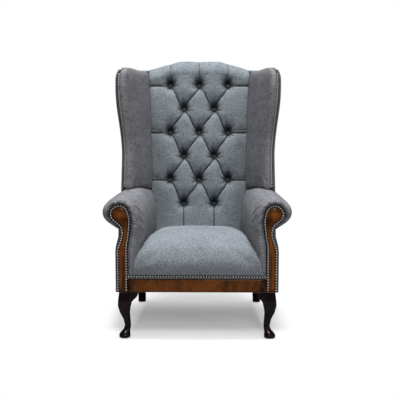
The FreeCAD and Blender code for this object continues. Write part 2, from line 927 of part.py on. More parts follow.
def build_arms(arm):
    """Scroll arms: rail, padding, cover, outside panel and leather facing."""
    y0 = frame_front + post_depth + fit
    y1 = post_face(roll_centre_z) - fit
    shift = side_lean * y0
    x0 = -nail_outer - 10.0 + shift
    z0 = roll_centre_z - arm_rail_height / 2
    rail = face_of(
        across(y0), (x0, z0), (x0, z0 + arm_rail_height),
        (x0 + arm_rail_width, z0 + arm_rail_height), (x0 + arm_rail_width, z0))
    region = side_region(frame_back + back_post_depth + fit, 0, 800, 500)
    arm_rail = rail.extrude(lean(y1 - y0 + 40)).common(region)
    add_pair("arm_top_rail", arm_rail)

    inner = arm_form(fabric).common(side_region(padding_rear + fabric, 0, 800, 500))
    add_pair("arm_pad", largest(arm.common(inner)))
    add_pair("arm_cover", largest(arm.cut(inner)))

    rolled_end = arm_form(0.0).common(side_region(padding_rear, 0, 800, 500))
    wires = []
    for depth, waist in ((0.0, 1.0), (body_depth + 60, 0.0)):
        outer = outside_arm_line(depth, 0.0, waist)
        inner = outside_arm_line(depth, fabric, waist)
        outline = outer + inner[::-1] + outer[:1]
        wires.append(Part.makePolygon([V(a, depth, b) for a, b in outline]))
    panel = loft(wires).common(side_region(fabric + fit, 0, 800, 500)).cut(rolled_end)
    outer = outside_arm_line(0.0, 0.0, 1.0)
    flange = face_of(
        across(0.0), *outer[:3], (outer[3][0], neck_height + 30),
        (-nail_outer + 19, neck_height + 26), (-nail_outer + 18, neck_height),
        (-nail_outer, shoulder_height), (-nail_outer, leg_height + 1))
    flange = flange.extrude(V(0, frame_front - fit, 0))
    add_pair("outside_arm", largest(panel.fuse(flange).removeSplitter()))
    outlines = []
    rim = -leather_rim
    for depth, inset in ((rim, 0.8), (rim, 5.5), (rim - leather, 8.5)):
        face = facing_face(across(depth), leg_height + 1)
        shrunk = face.OuterWire.makeOffset2D(-inset)
        outlines.append(shrunk)
    body = Part.Face(outlines[0]).extrude(V(0, frame_front - fit - rim, 0))
    crown = Part.makeLoft([outlines[1], outlines[2]], True, True)
    add_pair("arm_facing", body.fuse(crown).removeSplitter())


padding_rear = frame_back + back_post_depth + 2 * webbing + fit


def arm_space():
    """Whole left arm with its padding and cover, hollow along the arm post."""
    whole = arm_form(0.0).cut([arm_core(body_depth + 100, -40.0), nodes["wing_board_left"]])
    return whole.common(side_region(padding_rear, 0, 800, 500))


def build_wing_boards():
    """Plywood boards of the wings."""
    low = roll_centre_z + arm_rail_height / 2 + fit
    near = fabric + 2 * fit
    rear_off = frame_back + back_post_depth + fit
    board = wing_sheet(near, near + wing_board, 12.0, rear_off, low, wing_height - wing_top_roll * 0.5)
    add_pair("wing_board", board)


def build_wings(arm):
    """Padding, inside cover and outside cover of the wings. Gives back the space they fill."""
    low = arm_height - 45.0
    near = fabric + 2 * fit
    whole = wing_form(0.0, low, fabric + fit, fabric + fit)
    inside = wing_form(fabric, low - 5, -6.0, -6.0)
    over_post = back_slab(-50, padding_rear, 0, post_top + fit, 400)
    board_space = wing_sheet(
        -10.0, near + wing_board + fit, 12.0 - fit, -20.0, low - 20, wing_height - wing_top_roll * 0.5 + fit)
    arm_solid = arm_form(0.0).common(side_region(padding_rear, 0, 800, 500))
    rest = whole.cut([arm_solid, board_space, over_post])
    add_pair("wing_pad", largest(rest.common(inside)))
    add_pair("wing_cover", largest(rest.cut(inside)))
    under_roll = side_region(padding_rear, 0, arm_height - 58, 500)
    sheet = wing_sheet(0.0, fabric, 3.0, fabric + fit, neck_height + 30, wing_height - 6.0)
    add_pair("outside_wing", largest(sheet.cut([arm_solid, under_roll])))
    return whole


def build_back(wing):
    """Inside back with its buttons, and the outside back."""
    span = back_post_inner
    hollow = back_slab(-50, padding_rear - fit, 0, overall_height + 100, 400)
    hollow = hollow.common(crest_prism(crest_padding - fit, 0, span + 60))
    arm = arm_form(0.0)
    sides = [wing, mirrored(wing), arm, mirrored(arm)]
    outer = back_form(0.0, 0.0).cut(tuft_cutters(0.0))
    inner = back_form(fabric, 6.0).cut(tuft_cutters(fabric))
    bores = []
    twines = []
    heads = []
    for x, z in [place for row in button_places() for place in row]:
        seat = on_pad(x, z) - back_normal * button_depth
        depth = back_padding - back_side_drop * (x / span) ** 2
        reach = depth * math.cos(rake_angle) - button_depth - 2 * webbing - fit
        twines.append(turned(Part.makeCylinder(twine_radius, reach), back_normal * -1, seat))
        bore = Part.makeCylinder(twine_radius + hole_clearance, reach + 20)
        bores.append(turned(bore, back_normal * -1, seat + back_normal * 5))
        heads.append(turned(button(), back_normal, seat))
    rest = outer.cut([hollow] + sides)
    add("back_pad", largest(rest.common(inner).cut(bores)))
    add("back_cover", largest(rest.cut(inner).cut(bores)))
    add("back_buttons", Part.makeCompound(heads))
    add("button_twines", Part.makeCompound(twines))
    panel = back_slab(0.0, fabric, leg_height + 1, overall_height + 50, rear_half)
    add("outside_back", panel.common(crest_prism(2.0, 100, rear_half)))
    build_webbing(span)


def button():
    """Covered button: a shallow dome on a short drum."""
    drum = Part.makeCylinder(button_radius, button_thickness * 0.35)
    rise = button_thickness * 0.65
    radius = (rise ** 2 + button_radius ** 2) / (2 * rise)
    latitude = math.degrees(math.asin((radius - rise) / radius))
    dome = Part.makeSphere(radius, V(0, 0, 0), V(0, 0, 1), latitude, 90, 360)
    dome.translate(V(0, 0, button_thickness - radius))
    return drum.fuse(dome).removeSplitter()


def build_webbing(span):
    """Webbing of the inside back: strips across on the posts, and strips up in front of them."""
    near = frame_back + back_post_depth
    low = tack_rail_bottom + 20.0
    high = wing_height - crest_padding - 30.0
    strips = []
    count = 5
    for i in range(count):
        z = low + 60.0 + i * (high - low - 160.0) / (count - 1)
        strips.append(back_slab(near, near + webbing, z, z + webbing_width, span + 16))
    for x in (-span * 0.55, 0.0, span * 0.55):
        strip = back_slab(near + webbing, near + 2 * webbing, low, high + 10, webbing_width / 2)
        strip.translate(V(x, 0, 0))
        strips.append(strip)
    add("back_webbing", Part.makeCompound(strips))


def build_seat():
    """Seat padding and cover, trimmed to the arms and the inside back."""
    arm = arm_form(0.0)
    floor = rail_top + seat_base
    behind = slab(-400, 400, frame_front - fit, 900, 0, floor)
    underside = slab(-400, 400, -100, 900, 0, floor)
    around = [arm, mirrored(arm), back_form(0.0, 0.0), nodes["arm_post_left"], nodes["arm_post_right"]]
    rest = seat_form(0.0).cut(around + [behind])
    inner = seat_form(fabric).cut(underside)
    add("seat_pad", largest(rest.common(inner)))
    half = nail_inner - 1.0
    front = frame_front - fit
    hem = slab(-half, half, front - fabric, front, rail_top - hem_drop, rail_top + 12)
    add("seat_cover", largest(rest.cut(inner).fuse(hem).removeSplitter()))


def largest(shape):
    """The biggest solid of a shape, without the offcuts beyond its neighbours."""
    return max(shape.Solids, key=lambda s: s.Volume)


def wing_nail_line():
    """Line up the front of the left wing, between the sections that its surface runs straight between."""
    heights = wing_heights(arm_height - 45.0, wing_height)
    points = []
    for z in heights:
        x_edge, y_edge = wing_edge(z)
        points.append(V(x_edge + wing_strip + 3, y_edge - 1.1, z))
    low = arm_height + 12.0
    high = wing_height - 30.0
    kept = [p for p in points if low < p.z <= high + 0.01]
    before = points[points.index(kept[0]) - 1]
    share = (low - before.z) / (kept[0].z - before.z)
    return Part.makePolygon([before + (kept[0] - before) * share] + kept)


def build_trim():
    """Leather border, nails, bottom cloth."""
    half = nail_inner - 1.0
    low = leg_height + 1
    high = rail_top - hem_drop - fit
    back = frame_front - fit
    border = slab(-half, half, back - leather * 0.6, back, low, high)
    inset = 2.0
    rim = Part.makePolygon([
        V(-half, back - leather * 0.6, low), V(half, back - leather * 0.6, low),
        V(half, back - leather * 0.6, high), V(-half, back - leather * 0.6, high),
        V(-half, back - leather * 0.6, low)])
    crown = Part.makePolygon([
        V(-half + inset, back - leather, low + inset), V(half - inset, back - leather, low + inset),
        V(half - inset, back - leather, high - inset), V(-half + inset, back - leather, high - inset),
        V(-half + inset, back - leather, low + inset)])
    add("front_border", border.fuse(Part.makeLoft([rim, crown], True, True)).removeSplitter())

    z = rail_top - hem_drop * 0.45
    y = frame_front - fit - fabric
    reach = nail_inner - nail_pitch / 2
    line = Part.Wire(Part.LineSegment(V(-reach, y, z), V(reach, y, z)).toShape())
    add("seat_nails", Part.makeCompound(nails_on(line, V(0, -1, 0))))

    start, steps = scroll_steps(leg_height + 6)
    scroll = Part.Wire(path(across(-leather_rim), start, *steps))
    add_pair("facing_nails", Part.makeCompound(nails_on(scroll, V(0, -1, 0))))

    add_pair("wing_nails", Part.makeCompound(nails_on(wing_nail_line())))

    cloth = face_of(
        level(leg_height - 1.2), (-frame_outer + 6, frame_front + 4), (frame_outer - 6, frame_front + 4),
        (rear_half - 10, body_depth - 8), (-rear_half + 10, body_depth - 8)).extrude(V(0, 0, 1.2))
    return cloth


def build_legs(cloth):
    """Legs with their glides and bolts. The bottom cloth is cut round the legs."""
    leg = front_leg().fuse([leg_ear(True), leg_ear(False)]).removeSplitter()
    bolt_hole = bolt_radius + hole_clearance
    bolt_low = leg_height - bolt_in_leg
    leg = leg.cut(hole(front_bolt_x, front_bolt_y, bolt_low, 500, bolt_hole))
    rear = rear_leg().cut(hole(rear_bolt_x, rear_bolt_y, bolt_low, 500, bolt_hole))
    add_pair("front_leg", leg)
    add_pair("rear_leg", rear)
    bolts = [
        hole(front_bolt_x, front_bolt_y, bolt_low + 1, leg_height + bolt_in_block, bolt_radius),
        hole(rear_bolt_x, rear_bolt_y, bolt_low + 1, leg_height + bolt_in_block, bolt_radius),
    ]
    add("leg_bolts", Part.makeCompound(bolts + [mirrored(b) for b in bolts]))
    front_x = -(front_half - leg_inset - leg_block / 2) - foot_out
    front_y = leg_inset + leg_block / 2 - foot_out
    rear_x = rear_bolt_x - rear_leg_splay
    rear_y = rear_bolt_y + rear_leg_sweep
    glides = [
        hole(front_x, front_y, 0, glide_height, glide_radius),
        hole(rear_x, rear_y, 0, glide_height, glide_radius),
    ]
    add("leg_glides", Part.makeCompound(glides + [mirrored(g) for g in glides]))
    around = []
    gap = 2.0
    for x, y, size in (
        (-front_half + leg_inset + leg_block / 2, leg_inset + leg_block / 2, leg_block + 2 * ear_reach + 4),
        (rear_bolt_x, rear_bolt_y, rear_leg_top + 6),
    ):
        s = size / 2 + gap
        corner = slab(x - s - 40, x + s, y - s, y + s, 0, 300)
        around += [corner, mirrored(corner)]
    add("bottom_cloth", cloth.cut(around))


def save():
    os.makedirs("parts", exist_ok=True)
    for name, shape in nodes.items():
        solids = shape.Solids
        bad = [s for s in solids if not s.isValid() or s.Volume <= 0]
        if bad or not solids:
            print("not sound:", name, len(solids), len(bad))
        out = Part.makeCompound(solids) if len(solids) > 1 else solids[0]
        out.translate(V(0, -centre_setback, 0))
        out.exportStep("parts/" + name + ".step")
        box = out.BoundBox
        print(
            f"{name:20s} {len(solids):4d} solids {out.Volume / 1000:9.1f} cc"
            f"  x {box.XMin:7.1f} {box.XMax:7.1f}  y {box.YMin:7.1f} {box.YMax:7.1f}"
            f"  z {box.ZMin:7.1f} {box.ZMax:7.1f}")


def main():
    build_seat_box()
    build_springs()
    build_wing_boards()
    arm = arm_space()
    build_arms(arm)
    build_back(build_wings(arm))
    build_seat()
    cloth = build_trim()
    build_legs(cloth)
    save()


main()
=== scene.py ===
"""Looks of a wingback armchair: buttoned wool upholstery, rubbed leather, nails and dark legs."""
import json
import math
from functools import reduce

import bmesh
import bpy
import numpy as np
from mathutils import Matrix, Vector, noise


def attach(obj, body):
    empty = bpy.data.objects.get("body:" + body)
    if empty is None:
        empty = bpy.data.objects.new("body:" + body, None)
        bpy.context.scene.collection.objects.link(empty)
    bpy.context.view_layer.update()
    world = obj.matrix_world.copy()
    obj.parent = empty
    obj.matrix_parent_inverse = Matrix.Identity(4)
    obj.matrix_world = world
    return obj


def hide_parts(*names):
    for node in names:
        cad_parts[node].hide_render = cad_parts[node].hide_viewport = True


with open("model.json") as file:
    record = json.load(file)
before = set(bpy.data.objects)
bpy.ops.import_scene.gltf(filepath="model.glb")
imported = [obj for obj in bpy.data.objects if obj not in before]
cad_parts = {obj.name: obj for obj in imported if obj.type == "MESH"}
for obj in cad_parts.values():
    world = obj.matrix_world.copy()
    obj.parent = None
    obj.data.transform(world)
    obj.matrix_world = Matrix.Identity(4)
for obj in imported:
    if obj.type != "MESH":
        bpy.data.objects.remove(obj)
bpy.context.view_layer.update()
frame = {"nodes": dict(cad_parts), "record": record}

scene = bpy.context.scene
cad = frame["nodes"]

# Sizes shared by the pieces, in metres. Setback, also called f, is the distance behind the plane of the
# arm fronts, and MIDDLE is the setback of the frame's origin.
MIDDLE = 0.38655
BODY_DEPTH = 0.640
BODY_FRONT = 0.342
BODY_REAR = 0.305
SIDE_LEAN = (BODY_FRONT - BODY_REAR) / BODY_DEPTH
RAKE_ANGLE = math.radians(9.5)
RAKE = math.tan(RAKE_ANGLE)
RAKE_START = 0.300
LEG_HEIGHT = 0.204
CLOTH_FOOT = LEG_HEIGHT + 0.001
BORDER_TOP = 0.2615
SHOULDER = 0.389
NECK = 0.440
HEAD_START = 0.430
ARM_HEIGHT = 0.603
SCROLL_HEIGHT = ARM_HEIGHT - 0.070
WING_HEIGHT = 1.153
WING_TURN = WING_HEIGHT - 0.058
WING_ROUNDING = 0.062
WING_WRAP = 0.08
ARM_WRAP = 0.12
CREST = 1.191
CREST_ROLL = 0.060
BACK_HALF = 0.2587
BACK_FOOT = 0.302
PAD_DEPTH = 0.138
SIDE_DROP = 0.024
BUTTON_SIDE = 0.139
BUTTON_HALF = 0.073
BUTTON_LOW = 0.510
BUTTON_PITCH = 0.1125
BUTTON_DEPTH = 0.034
BUTTON_RADIUS = 0.0105
NAIL_RADIUS = 0.0047
CLOTH_THICKNESS = 0.002
REAR_GAP = 0.0023
SWELLING_FRAMES = 20
WHITE = (1, 1, 1, 1)
FAR = 9.0
rng = np.random.default_rng(11)


# Numbers
def smooth_step(t):
    t = np.clip(t, 0.0, 1.0)
    return t * t * (3 - 2 * t)


def bump(offset, reach, power=2):
    """1 at no offset, falling away over reach on both sides."""
    return np.exp(-(np.abs(offset / reach) ** power))


def beyond(offset, reach, power=1):
    """1 up to no offset, falling away over reach past it."""
    return np.exp(-((np.maximum(offset, 0) / reach) ** power))


def highest(*values):
    return reduce(np.maximum, values)


def back_face(z):
    """Setback of the outside back at height z."""
    return BODY_DEPTH + np.maximum(0.0, z - RAKE_START) * RAKE


def pad_face(x, z):
    """Setback of the inside back before it is buttoned."""
    return back_face(z) - PAD_DEPTH + SIDE_DROP * (x / BACK_HALF) ** 2


def crest_height(x):
    return CREST - 0.0045 - 0.0365 * smooth_step((np.abs(x) - 0.080) / 0.180)


def waves(points, size, seed):
    """Soft random values from -1 to 1 at each point, for bumps of about that size."""
    shift = Vector((seed * 3.7, seed * 1.3, seed * 2.1))
    return np.array([noise.noise(Vector(p) / size + shift) for p in points])


def flat_waves(across, along, size, seed):
    """Waves of a flat sheet, from its two directions."""
    return waves(np.column_stack((across, along, 0 * across)), size, seed)


# Meshes
def read_points(mesh, kind="co"):
    points = np.empty(len(mesh.vertices) * 3)
    mesh.vertices.foreach_get(kind, points)
    return points.reshape(-1, 3)


def read_normals(mesh):
    return read_points(mesh, "normal")


def read_places(piece):
    """x, setback and height of every point."""
    points = read_points(piece.data)
    return points[:, 0], points[:, 1] + MIDDLE, points[:, 2]


def write_points(mesh, points):
    mesh.vertices.foreach_set("co", points.ravel())
    mesh.update()


def write_places(piece, x, f, z):
    write_points(piece.data, np.column_stack((x, f - MIDDLE, z)))


def bend_points(piece, change):
    """Lets change move the points, given to it with setback as y."""
    points = read_points(piece.data)
    points[:, 1] += MIDDLE
    change(points)
    points[:, 1] -= MIDDLE
    write_points(piece.data, points)


def press_down(z, foot, top):
    """Stretches the heights below top so that the lowest of them comes to foot."""
    low = z < top
    bottom = z[low].min()
    z[low] = foot + (z[low] - bottom) * (top - foot) / (top - bottom)


def store(mesh, name, values):
    """Keeps one number for every point of a mesh, for its material to read."""
    layer = mesh.attributes.new(name, "FLOAT", "POINT")
    layer.data.foreach_set("value", np.asarray(values, float))


def store_painted_shade(piece, *values):
    """Keeps the wool's painted shade at each point: the highest of the values, 1 where it is painted
    darkest, deep in a recess.
    """
    store(piece.data, "painted_shade", np.clip(highest(*values), 0, 1))


# Node trees
def put(tree, kind, inputs=None, **settings):
    """Adds a node. An input is a plain value, or another node's output."""
    node = tree.nodes.new(kind)
    for name, value in settings.items():
        setattr(node, name, value)
    for name, value in (inputs or {}).items():
        if isinstance(value, bpy.types.NodeSocket):
            tree.links.new(value, node.inputs[name])
        else:
            node.inputs[name].default_value = value
    return node


def sums(tree, operation, *values, clamp=False):
    """Math node on values or outputs."""
    inputs = dict(enumerate(values))
    return put(tree, "ShaderNodeMath", inputs, operation=operation, use_clamp=clamp).outputs[0]


def vary(tree, base, value, weight, clamp=False):
    """base, with weight times what value has over one half."""
    over = sums(tree, "SUBTRACT", value, 0.5)
    return sums(tree, "MULTIPLY_ADD", over, weight, base, clamp=clamp)


def texture(tree, point, scale=1.0, detail=3.0, **inputs):
    inputs = {"Vector": point, "Scale": scale, "Detail": detail, **inputs}
    return put(tree, "ShaderNodeTexNoise", inputs).outputs[0]


def scaled(tree, point, factors):
    return put(tree, "ShaderNodeVectorMath", {0: point, 1: factors}, operation="MULTIPLY").outputs[0]


def blend(tree, factor, first, second):
    """Colour from first to second. A Mix node's colours are its inputs 6 and 7 and its output 2."""
    inputs = {"Factor": factor, 6: first, 7: second}
    return put(tree, "ShaderNodeMix", inputs, data_type="RGBA").outputs[2]


def stored(tree, name):
    return put(tree, "ShaderNodeAttribute", attribute_name=name).outputs["Fac"]


def ramp(tree, value, start, end, interpolation="SMOOTHSTEP"):
    """0 at start and 1 at end."""
    inputs = {0: value, 1: start, 2: end}
    return put(tree, "ShaderNodeMapRange", inputs, interpolation_type=interpolation).outputs[0]


def empty_tree(owner):
    owner.use_nodes = True
    owner.node_tree.nodes.clear()
    return owner.node_tree


def new_group(name, inputs):
    """Shader node group with inputs given as (name, kind, default), for colour, roughness and height."""
    group = bpy.data.node_groups.new(name, "ShaderNodeTree")
    for label, kind, default in inputs:
        socket = group.interface.new_socket(label, in_out="INPUT", socket_type="NodeSocket" + kind)
        socket.default_value = default
    for label, kind in (("Color", "Color"), ("Roughness", "Float"), ("Height", "Float")):
        group.interface.new_socket(label, in_out="OUTPUT", socket_type="NodeSocket" + kind)
    given = group.nodes.new("NodeGroupInput").outputs
    result = group.nodes.new("NodeGroupOutput").inputs

    def finish(colour, roughness, height):
        for label, value in (("Color", colour), ("Roughness", roughness), ("Height", height)):
            group.links.new(value, result[label])
        return group

    return group, given, finish


def weave_group():
    """Plain weave of mottled yarn, laid on each side of a piece from the way it faces."""
    group, given, finish = new_group(
        "woven_wool",
        [("Dark", "Color", (0.1, 0.1, 0.1, 1)), ("Light", "Color", (0.3, 0.3, 0.3, 1)),
         ("Yarn pitch", "Float", 700.0), ("Streaks", "Vector", (300.0, 30.0, 30.0)),
         ("Cross", "Vector", (30.0, 30.0, 300.0)), ("Contrast", "Float", 1.0)])
    place = put(group, "ShaderNodeTexCoord").outputs
    point = place["Object"]
    axes = put(group, "ShaderNodeSeparateXYZ", {0: point}).outputs
    facing = put(group, "ShaderNodeSeparateXYZ", {0: place["Normal"]}).outputs
    yarn = sums(group, "MULTIPLY", given["Yarn pitch"], math.pi)
    wave = [sums(group, "SINE", sums(group, "MULTIPLY", axis, yarn)) for axis in axes]
    weave = 0.0
    for i in range(3):
        share = sums(group, "POWER", sums(group, "ABSOLUTE", facing[i]), 4.0)
        crossing = sums(group, "MULTIPLY", wave[(i + 1) % 3], wave[(i + 2) % 3])
        weave = sums(group, "MULTIPLY_ADD", share, crossing, weave)
    streak = texture(group, scaled(group, point, given["Streaks"]))
    cross = texture(group, scaled(group, point, given["Cross"]))
    speck = texture(group, point, 240.0)
    cloud = texture(group, point, 11.0)
    tone = 0.0
    for value, weight in ((streak, 1.5), (cross, 0.9), (speck, 2.0), (cloud, 0.5)):
        tone = vary(group, tone, value, weight)
    tone = sums(group, "MULTIPLY_ADD", weave, 0.16, tone)
    tone = sums(group, "MULTIPLY_ADD", tone, given["Contrast"], 0.5, clamp=True)
    height = sums(group, "MULTIPLY_ADD", weave, 0.5, 0.5)
    height = sums(group, "MULTIPLY_ADD", streak, 0.6, height)
    height = sums(group, "MULTIPLY_ADD", speck, 0.7, height)
    roughness = sums(group, "MULTIPLY_ADD", speck, -0.2, 0.98)
    return finish(blend(group, tone, given["Dark"], given["Light"]), roughness, height)


def hide_group():
    """Leather: pebbled grain, cloudy stain, and darker where the stored rim value is high, which holds
    darker dye and, on the facings, painted shade and highlights.
    """
    group, given, finish = new_group(
        "rubbed_hide",
        [("Bright", "Color", (0.3, 0.1, 0.03, 1)), ("Deep", "Color", (0.02, 0.01, 0.01, 1)),
         ("Stain run", "Vector", (14.0, 14.0, 14.0))])
    point = put(group, "ShaderNodeTexCoord").outputs["Object"]
    stain = texture(group, scaled(group, point, given["Stain run"]), detail=4.0, Roughness=0.62)
    pebble = put(group, "ShaderNodeTexVoronoi", {"Vector": point, "Scale": 620.0}, feature="SMOOTH_F1")
    fine = texture(group, point, 260.0)
    edge = sums(group, "MULTIPLY", stored(group, "rim"), 0.95)
    shade = sums(group, "MULTIPLY_ADD", ramp(group, stain, 0.38, 0.74, "LINEAR"), 0.48, edge)
    shade = vary(group, shade, fine, 0.35, clamp=True)
    roughness = sums(group, "MULTIPLY_ADD", fine, 0.25, 0.24)
    height = sums(group, "MULTIPLY_ADD", pebble.outputs[0], 0.5, sums(group, "MULTIPLY", fine, 0.6))
    return finish(blend(group, shade, given["Bright"], given["Deep"]), roughness, height)


def grain_group():
    """Wood grain that runs along one axis."""
    group, given, finish = new_group(
        "wood_grain",
        [("Dark", "Color", (0.1, 0.05, 0.02, 1)), ("Light", "Color", (0.5, 0.3, 0.2, 1)),
         ("Run", "Vector", (60.0, 60.0, 6.0))])
    run = scaled(group, put(group, "ShaderNodeTexCoord").outputs["Object"], given["Run"])
    bands = texture(group, run, detail=5.0, Distortion=0.6)
    pores = texture(group, run, 9.0, 2.0)
    tone = vary(group, vary(group, 0.5, bands, 2.2), pores, 0.8, clamp=True)
    roughness = sums(group, "MULTIPLY_ADD", pores, 0.3, 0.1)
    return finish(blend(group, tone, given["Dark"], given["Light"]), roughness, pores)


# Materials
GROUPS = {"weave": weave_group(), "hide": hide_group(), "grain": grain_group()}
MATERIALS = {}


def new_material(name, group, inputs, relief, relief_depth, **shader):
    """Principled material with its colour, roughness and bump from one of the groups."""
    material = bpy.data.materials.new(name)
    tree = empty_tree(material)
    pattern = put(tree, "ShaderNodeGroup", node_tree=GROUPS[group])
    for label, value in inputs.items():
        pattern.inputs[label].default_value = value
    raised = put(tree, "ShaderNodeBump", {
        "Height": pattern.outputs["Height"], "Strength": relief, "Distance": relief_depth})
    surface = put(tree, "ShaderNodeBsdfPrincipled", {
        "Base Color": pattern.outputs["Color"], "Roughness": pattern.outputs["Roughness"],
        "Normal": raised.outputs[0]})
    for label, value in shader.items():
        surface.inputs[label.replace("_", " ")].default_value = value
    tree.links.new(surface.outputs[0], put(tree, "ShaderNodeOutputMaterial").inputs[0])
    MATERIALS[name] = material


def shade_by(name, attribute, colour):
    """Mixes a material's colour towards another one where the stored value is high."""
    tree = MATERIALS[name].node_tree
    surface = next(n for n in tree.nodes if n.type == "BSDF_PRINCIPLED")
    own = surface.inputs["Base Color"].links[0].from_socket
    tree.links.new(blend(tree, stored(tree, attribute), own, colour), surface.inputs["Base Color"])


def wool(name, dark, light, streaks, contrast):
    """Wool cloth, painted darker where the stored shade value is high: painted shade in recesses, creases
    and joins, and on faces turned from the light.
    """
    new_material(
        name, "weave",
        {"Dark": (*dark, 1), "Light": (*light, 1), "Yarn pitch": 620.0, "Streaks": streaks,
         "Cross": streaks[::-1], "Contrast": contrast},
        0.55, 0.0007, Sheen_Weight=0.02, Sheen_Roughness=0.5, Specular_IOR_Level=0.10)
    # Painted shade: the colour goes to near black where the stored value is 1.
    shade_by(name, "painted_shade", (*(0.05 * c for c in dark), 1))


def grained(name, dark, light, run, relief, relief_depth, **shader):
    """Wood, metal or plastic, mottled along its run."""
    inputs = {"Dark": (*dark, 1), "Light": (*light, 1), "Run": run}
    new_material(name, "grain", inputs, relief, relief_depth, **shader)


def build_materials():
    for name, dark, light, streaks, contrast in (
        ("seat_and_back_wool", (0.106, 0.121, 0.136), (0.330, 0.362, 0.394), (380.0, 380.0, 110.0), 0.95),
        # The back's wool is the seat's wool painted darker, a shaded copy for its upright face; its
        # streaks run up it.
        ("back_wool", (0.098, 0.114, 0.127), (0.262, 0.292, 0.316), (50.0, 50.0, 300.0), 0.85),
        ("arm_and_wing_wool", (0.110, 0.115, 0.128), (0.336, 0.339, 0.363), (45.0, 45.0, 320.0), 0.95),
        ("hessian", (0.25, 0.18, 0.09), (0.60, 0.48, 0.30), (300.0, 60.0, 60.0), 1.2),
        ("webbing", (0.10, 0.08, 0.06), (0.45, 0.40, 0.32), (300.0, 60.0, 60.0), 1.2),
        ("padding", (0.62, 0.60, 0.52), (0.86, 0.84, 0.78), (50.0, 50.0, 50.0), 0.8),
        ("twine", (0.35, 0.30, 0.22), (0.66, 0.60, 0.48), (300.0, 300.0, 300.0), 1.0),
        ("bottom_cloth", (0.008, 0.008, 0.009), (0.030, 0.030, 0.032), (90.0, 90.0, 90.0), 1.0),
    ):
        wool(name, dark, light, streaks, contrast)
    new_material(
        "antique_leather", "hide",
        {"Bright": (0.275, 0.080, 0.011, 1), "Deep": (0.007, 0.0025, 0.0012, 1),
         "Stain run": (30.0, 40.0, 17.0)},
        0.20, 0.0006, Coat_Weight=0.20, Coat_Roughness=0.09, Specular_IOR_Level=0.10)
    # The nails' near-white colours are a painted glint; their stored rim value darkens each head towards
    # its edge.
    grained(
        "antique_nails", (0.82, 0.80, 0.76), (0.98, 0.97, 0.94), (170.0, 170.0, 170.0),
        0.12, 0.0002, Metallic=0.10, Specular_IOR_Level=0.3)
    shade_by("antique_nails", "rim", (0.003, 0.002, 0.002, 1))
    grained(
        "dark_mahogany", (0.003, 0.0014, 0.0014), (0.018, 0.0065, 0.0065), (90.0, 90.0, 9.0),
        0.06, 0.0003, Coat_Weight=0.28, Coat_Roughness=0.08, Specular_IOR_Level=0.15)
    grained("frame_beech", (0.42, 0.25, 0.13), (0.66, 0.45, 0.27), (30.0, 90.0, 90.0), 0.2, 0.0004)
    grained("board_birch", (0.55, 0.40, 0.24), (0.76, 0.62, 0.42), (90.0, 14.0, 60.0), 0.2, 0.0004)
    grained(
        "spring_steel", (0.22, 0.22, 0.23), (0.5, 0.5, 0.52), (200.0, 200.0, 200.0), 0.1, 0.0002,
        Metallic=1.0)
    grained("glide_nylon", (0.03, 0.03, 0.03), (0.07, 0.07, 0.07), (300.0, 300.0, 300.0), 0.1, 0.0002)


# Pieces
def dress(piece, slot, *nodes, material=None):
    """Gives a piece the material named by its slot, or the one given instead, and puts it on the chair in
    the place of its CAD nodes.
    """
    piece.data.materials.clear()
    piece.data.materials.append(MATERIALS[material or slot])
    for polygon in piece.data.polygons:
        polygon.use_smooth = True
    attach(piece, "root")
    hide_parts(*nodes)


def link_new(name, data):
    made = bpy.data.objects.new(name, data)
    scene.collection.objects.link(made)
    return made


def new_piece(name, bm):
    mesh = bpy.data.meshes.new(name)
    bm.to_mesh(mesh)
    bm.free()
    return link_new(name, mesh)


def edit_mesh(piece, change):
    """Lets change work on the piece's mesh as a bmesh."""
    bm = bmesh.new()
    bm.from_mesh(piece.data)
    change(bm)
    bm.to_mesh(piece.data)
    bm.free()


def add_modifier(piece, kind, **settings):
    modifier = piece.modifiers.new(kind.lower(), kind)
    for name, value in settings.items():
        setattr(modifier, name, value)
    return modifier


def thicken(piece, thickness=CLOTH_THICKNESS):
    add_modifier(piece, "SOLIDIFY", thickness=thickness, offset=-1)


def bake_modifiers(piece):
    """Turns what the modifiers show into the piece's own mesh."""
    graph = bpy.context.evaluated_depsgraph_get()
    shown = bpy.data.meshes.new_from_object(piece.evaluated_get(graph))
    piece.modifiers.clear()
    old = piece.data
    piece.data = shown
    bpy.data.meshes.remove(old)


def from_solids(name, nodes, voxel, smoothing, block=None):
    """One even skin round the CAD solids of these nodes, and round a block given by two corners."""
    bm = bmesh.new()
    for node in nodes:
        bm.from_mesh(cad[node].data)
    if block:
        low, high = Vector(block[0]), Vector(block[1])
        place = Matrix.Translation((low + high) / 2) @ Matrix.Diagonal((*(high - low), 1))
        bmesh.ops.create_cube(bm, size=1, matrix=place)
    bmesh.ops.remove_doubles(bm, verts=bm.verts, dist=1e-5)
    piece = new_piece(name, bm)
    add_modifier(piece, "REMESH", mode="VOXEL", voxel_size=voxel)
    bake_modifiers(piece)

    def smooth(bm):
        for _ in range(smoothing):
            bmesh.ops.smooth_vert(
                bm, verts=bm.verts, factor=0.5, use_axis_x=True, use_axis_y=True, use_axis_z=True)

    edit_mesh(piece, smooth)
    return piece


def both_sides(piece):
    """A left piece and its mirror image, each with its side."""
    bm = bmesh.new()
    bm.from_mesh(piece.data)
    bmesh.ops.scale(bm, vec=(-1, 1, 1), verts=bm.verts)
    bmesh.ops.reverse_faces(bm, faces=bm.faces)
    other = new_piece(piece.name.removesuffix("left") + "right", bm)
    return (piece, "left"), (other, "right")


def new_sheet(name, columns, rows):
    """Flat grid, and how far each of its points lies across and up it, from 0 to 1."""
    bm = bmesh.new()
    bmesh.ops.create_grid(bm, x_segments=columns, y_segments=rows, size=0.5)
    piece = new_piece(name, bm)
    flat = read_points(piece.data)
    return piece, flat[:, 0] + 0.5, flat[:, 1] + 0.5


def new_dome(bm, around, rings, radius):
    """Points of a new ball, to be flattened."""
    return bmesh.ops.create_uvsphere(bm, u_segments=around, v_segments=rings, radius=radius)["verts"]


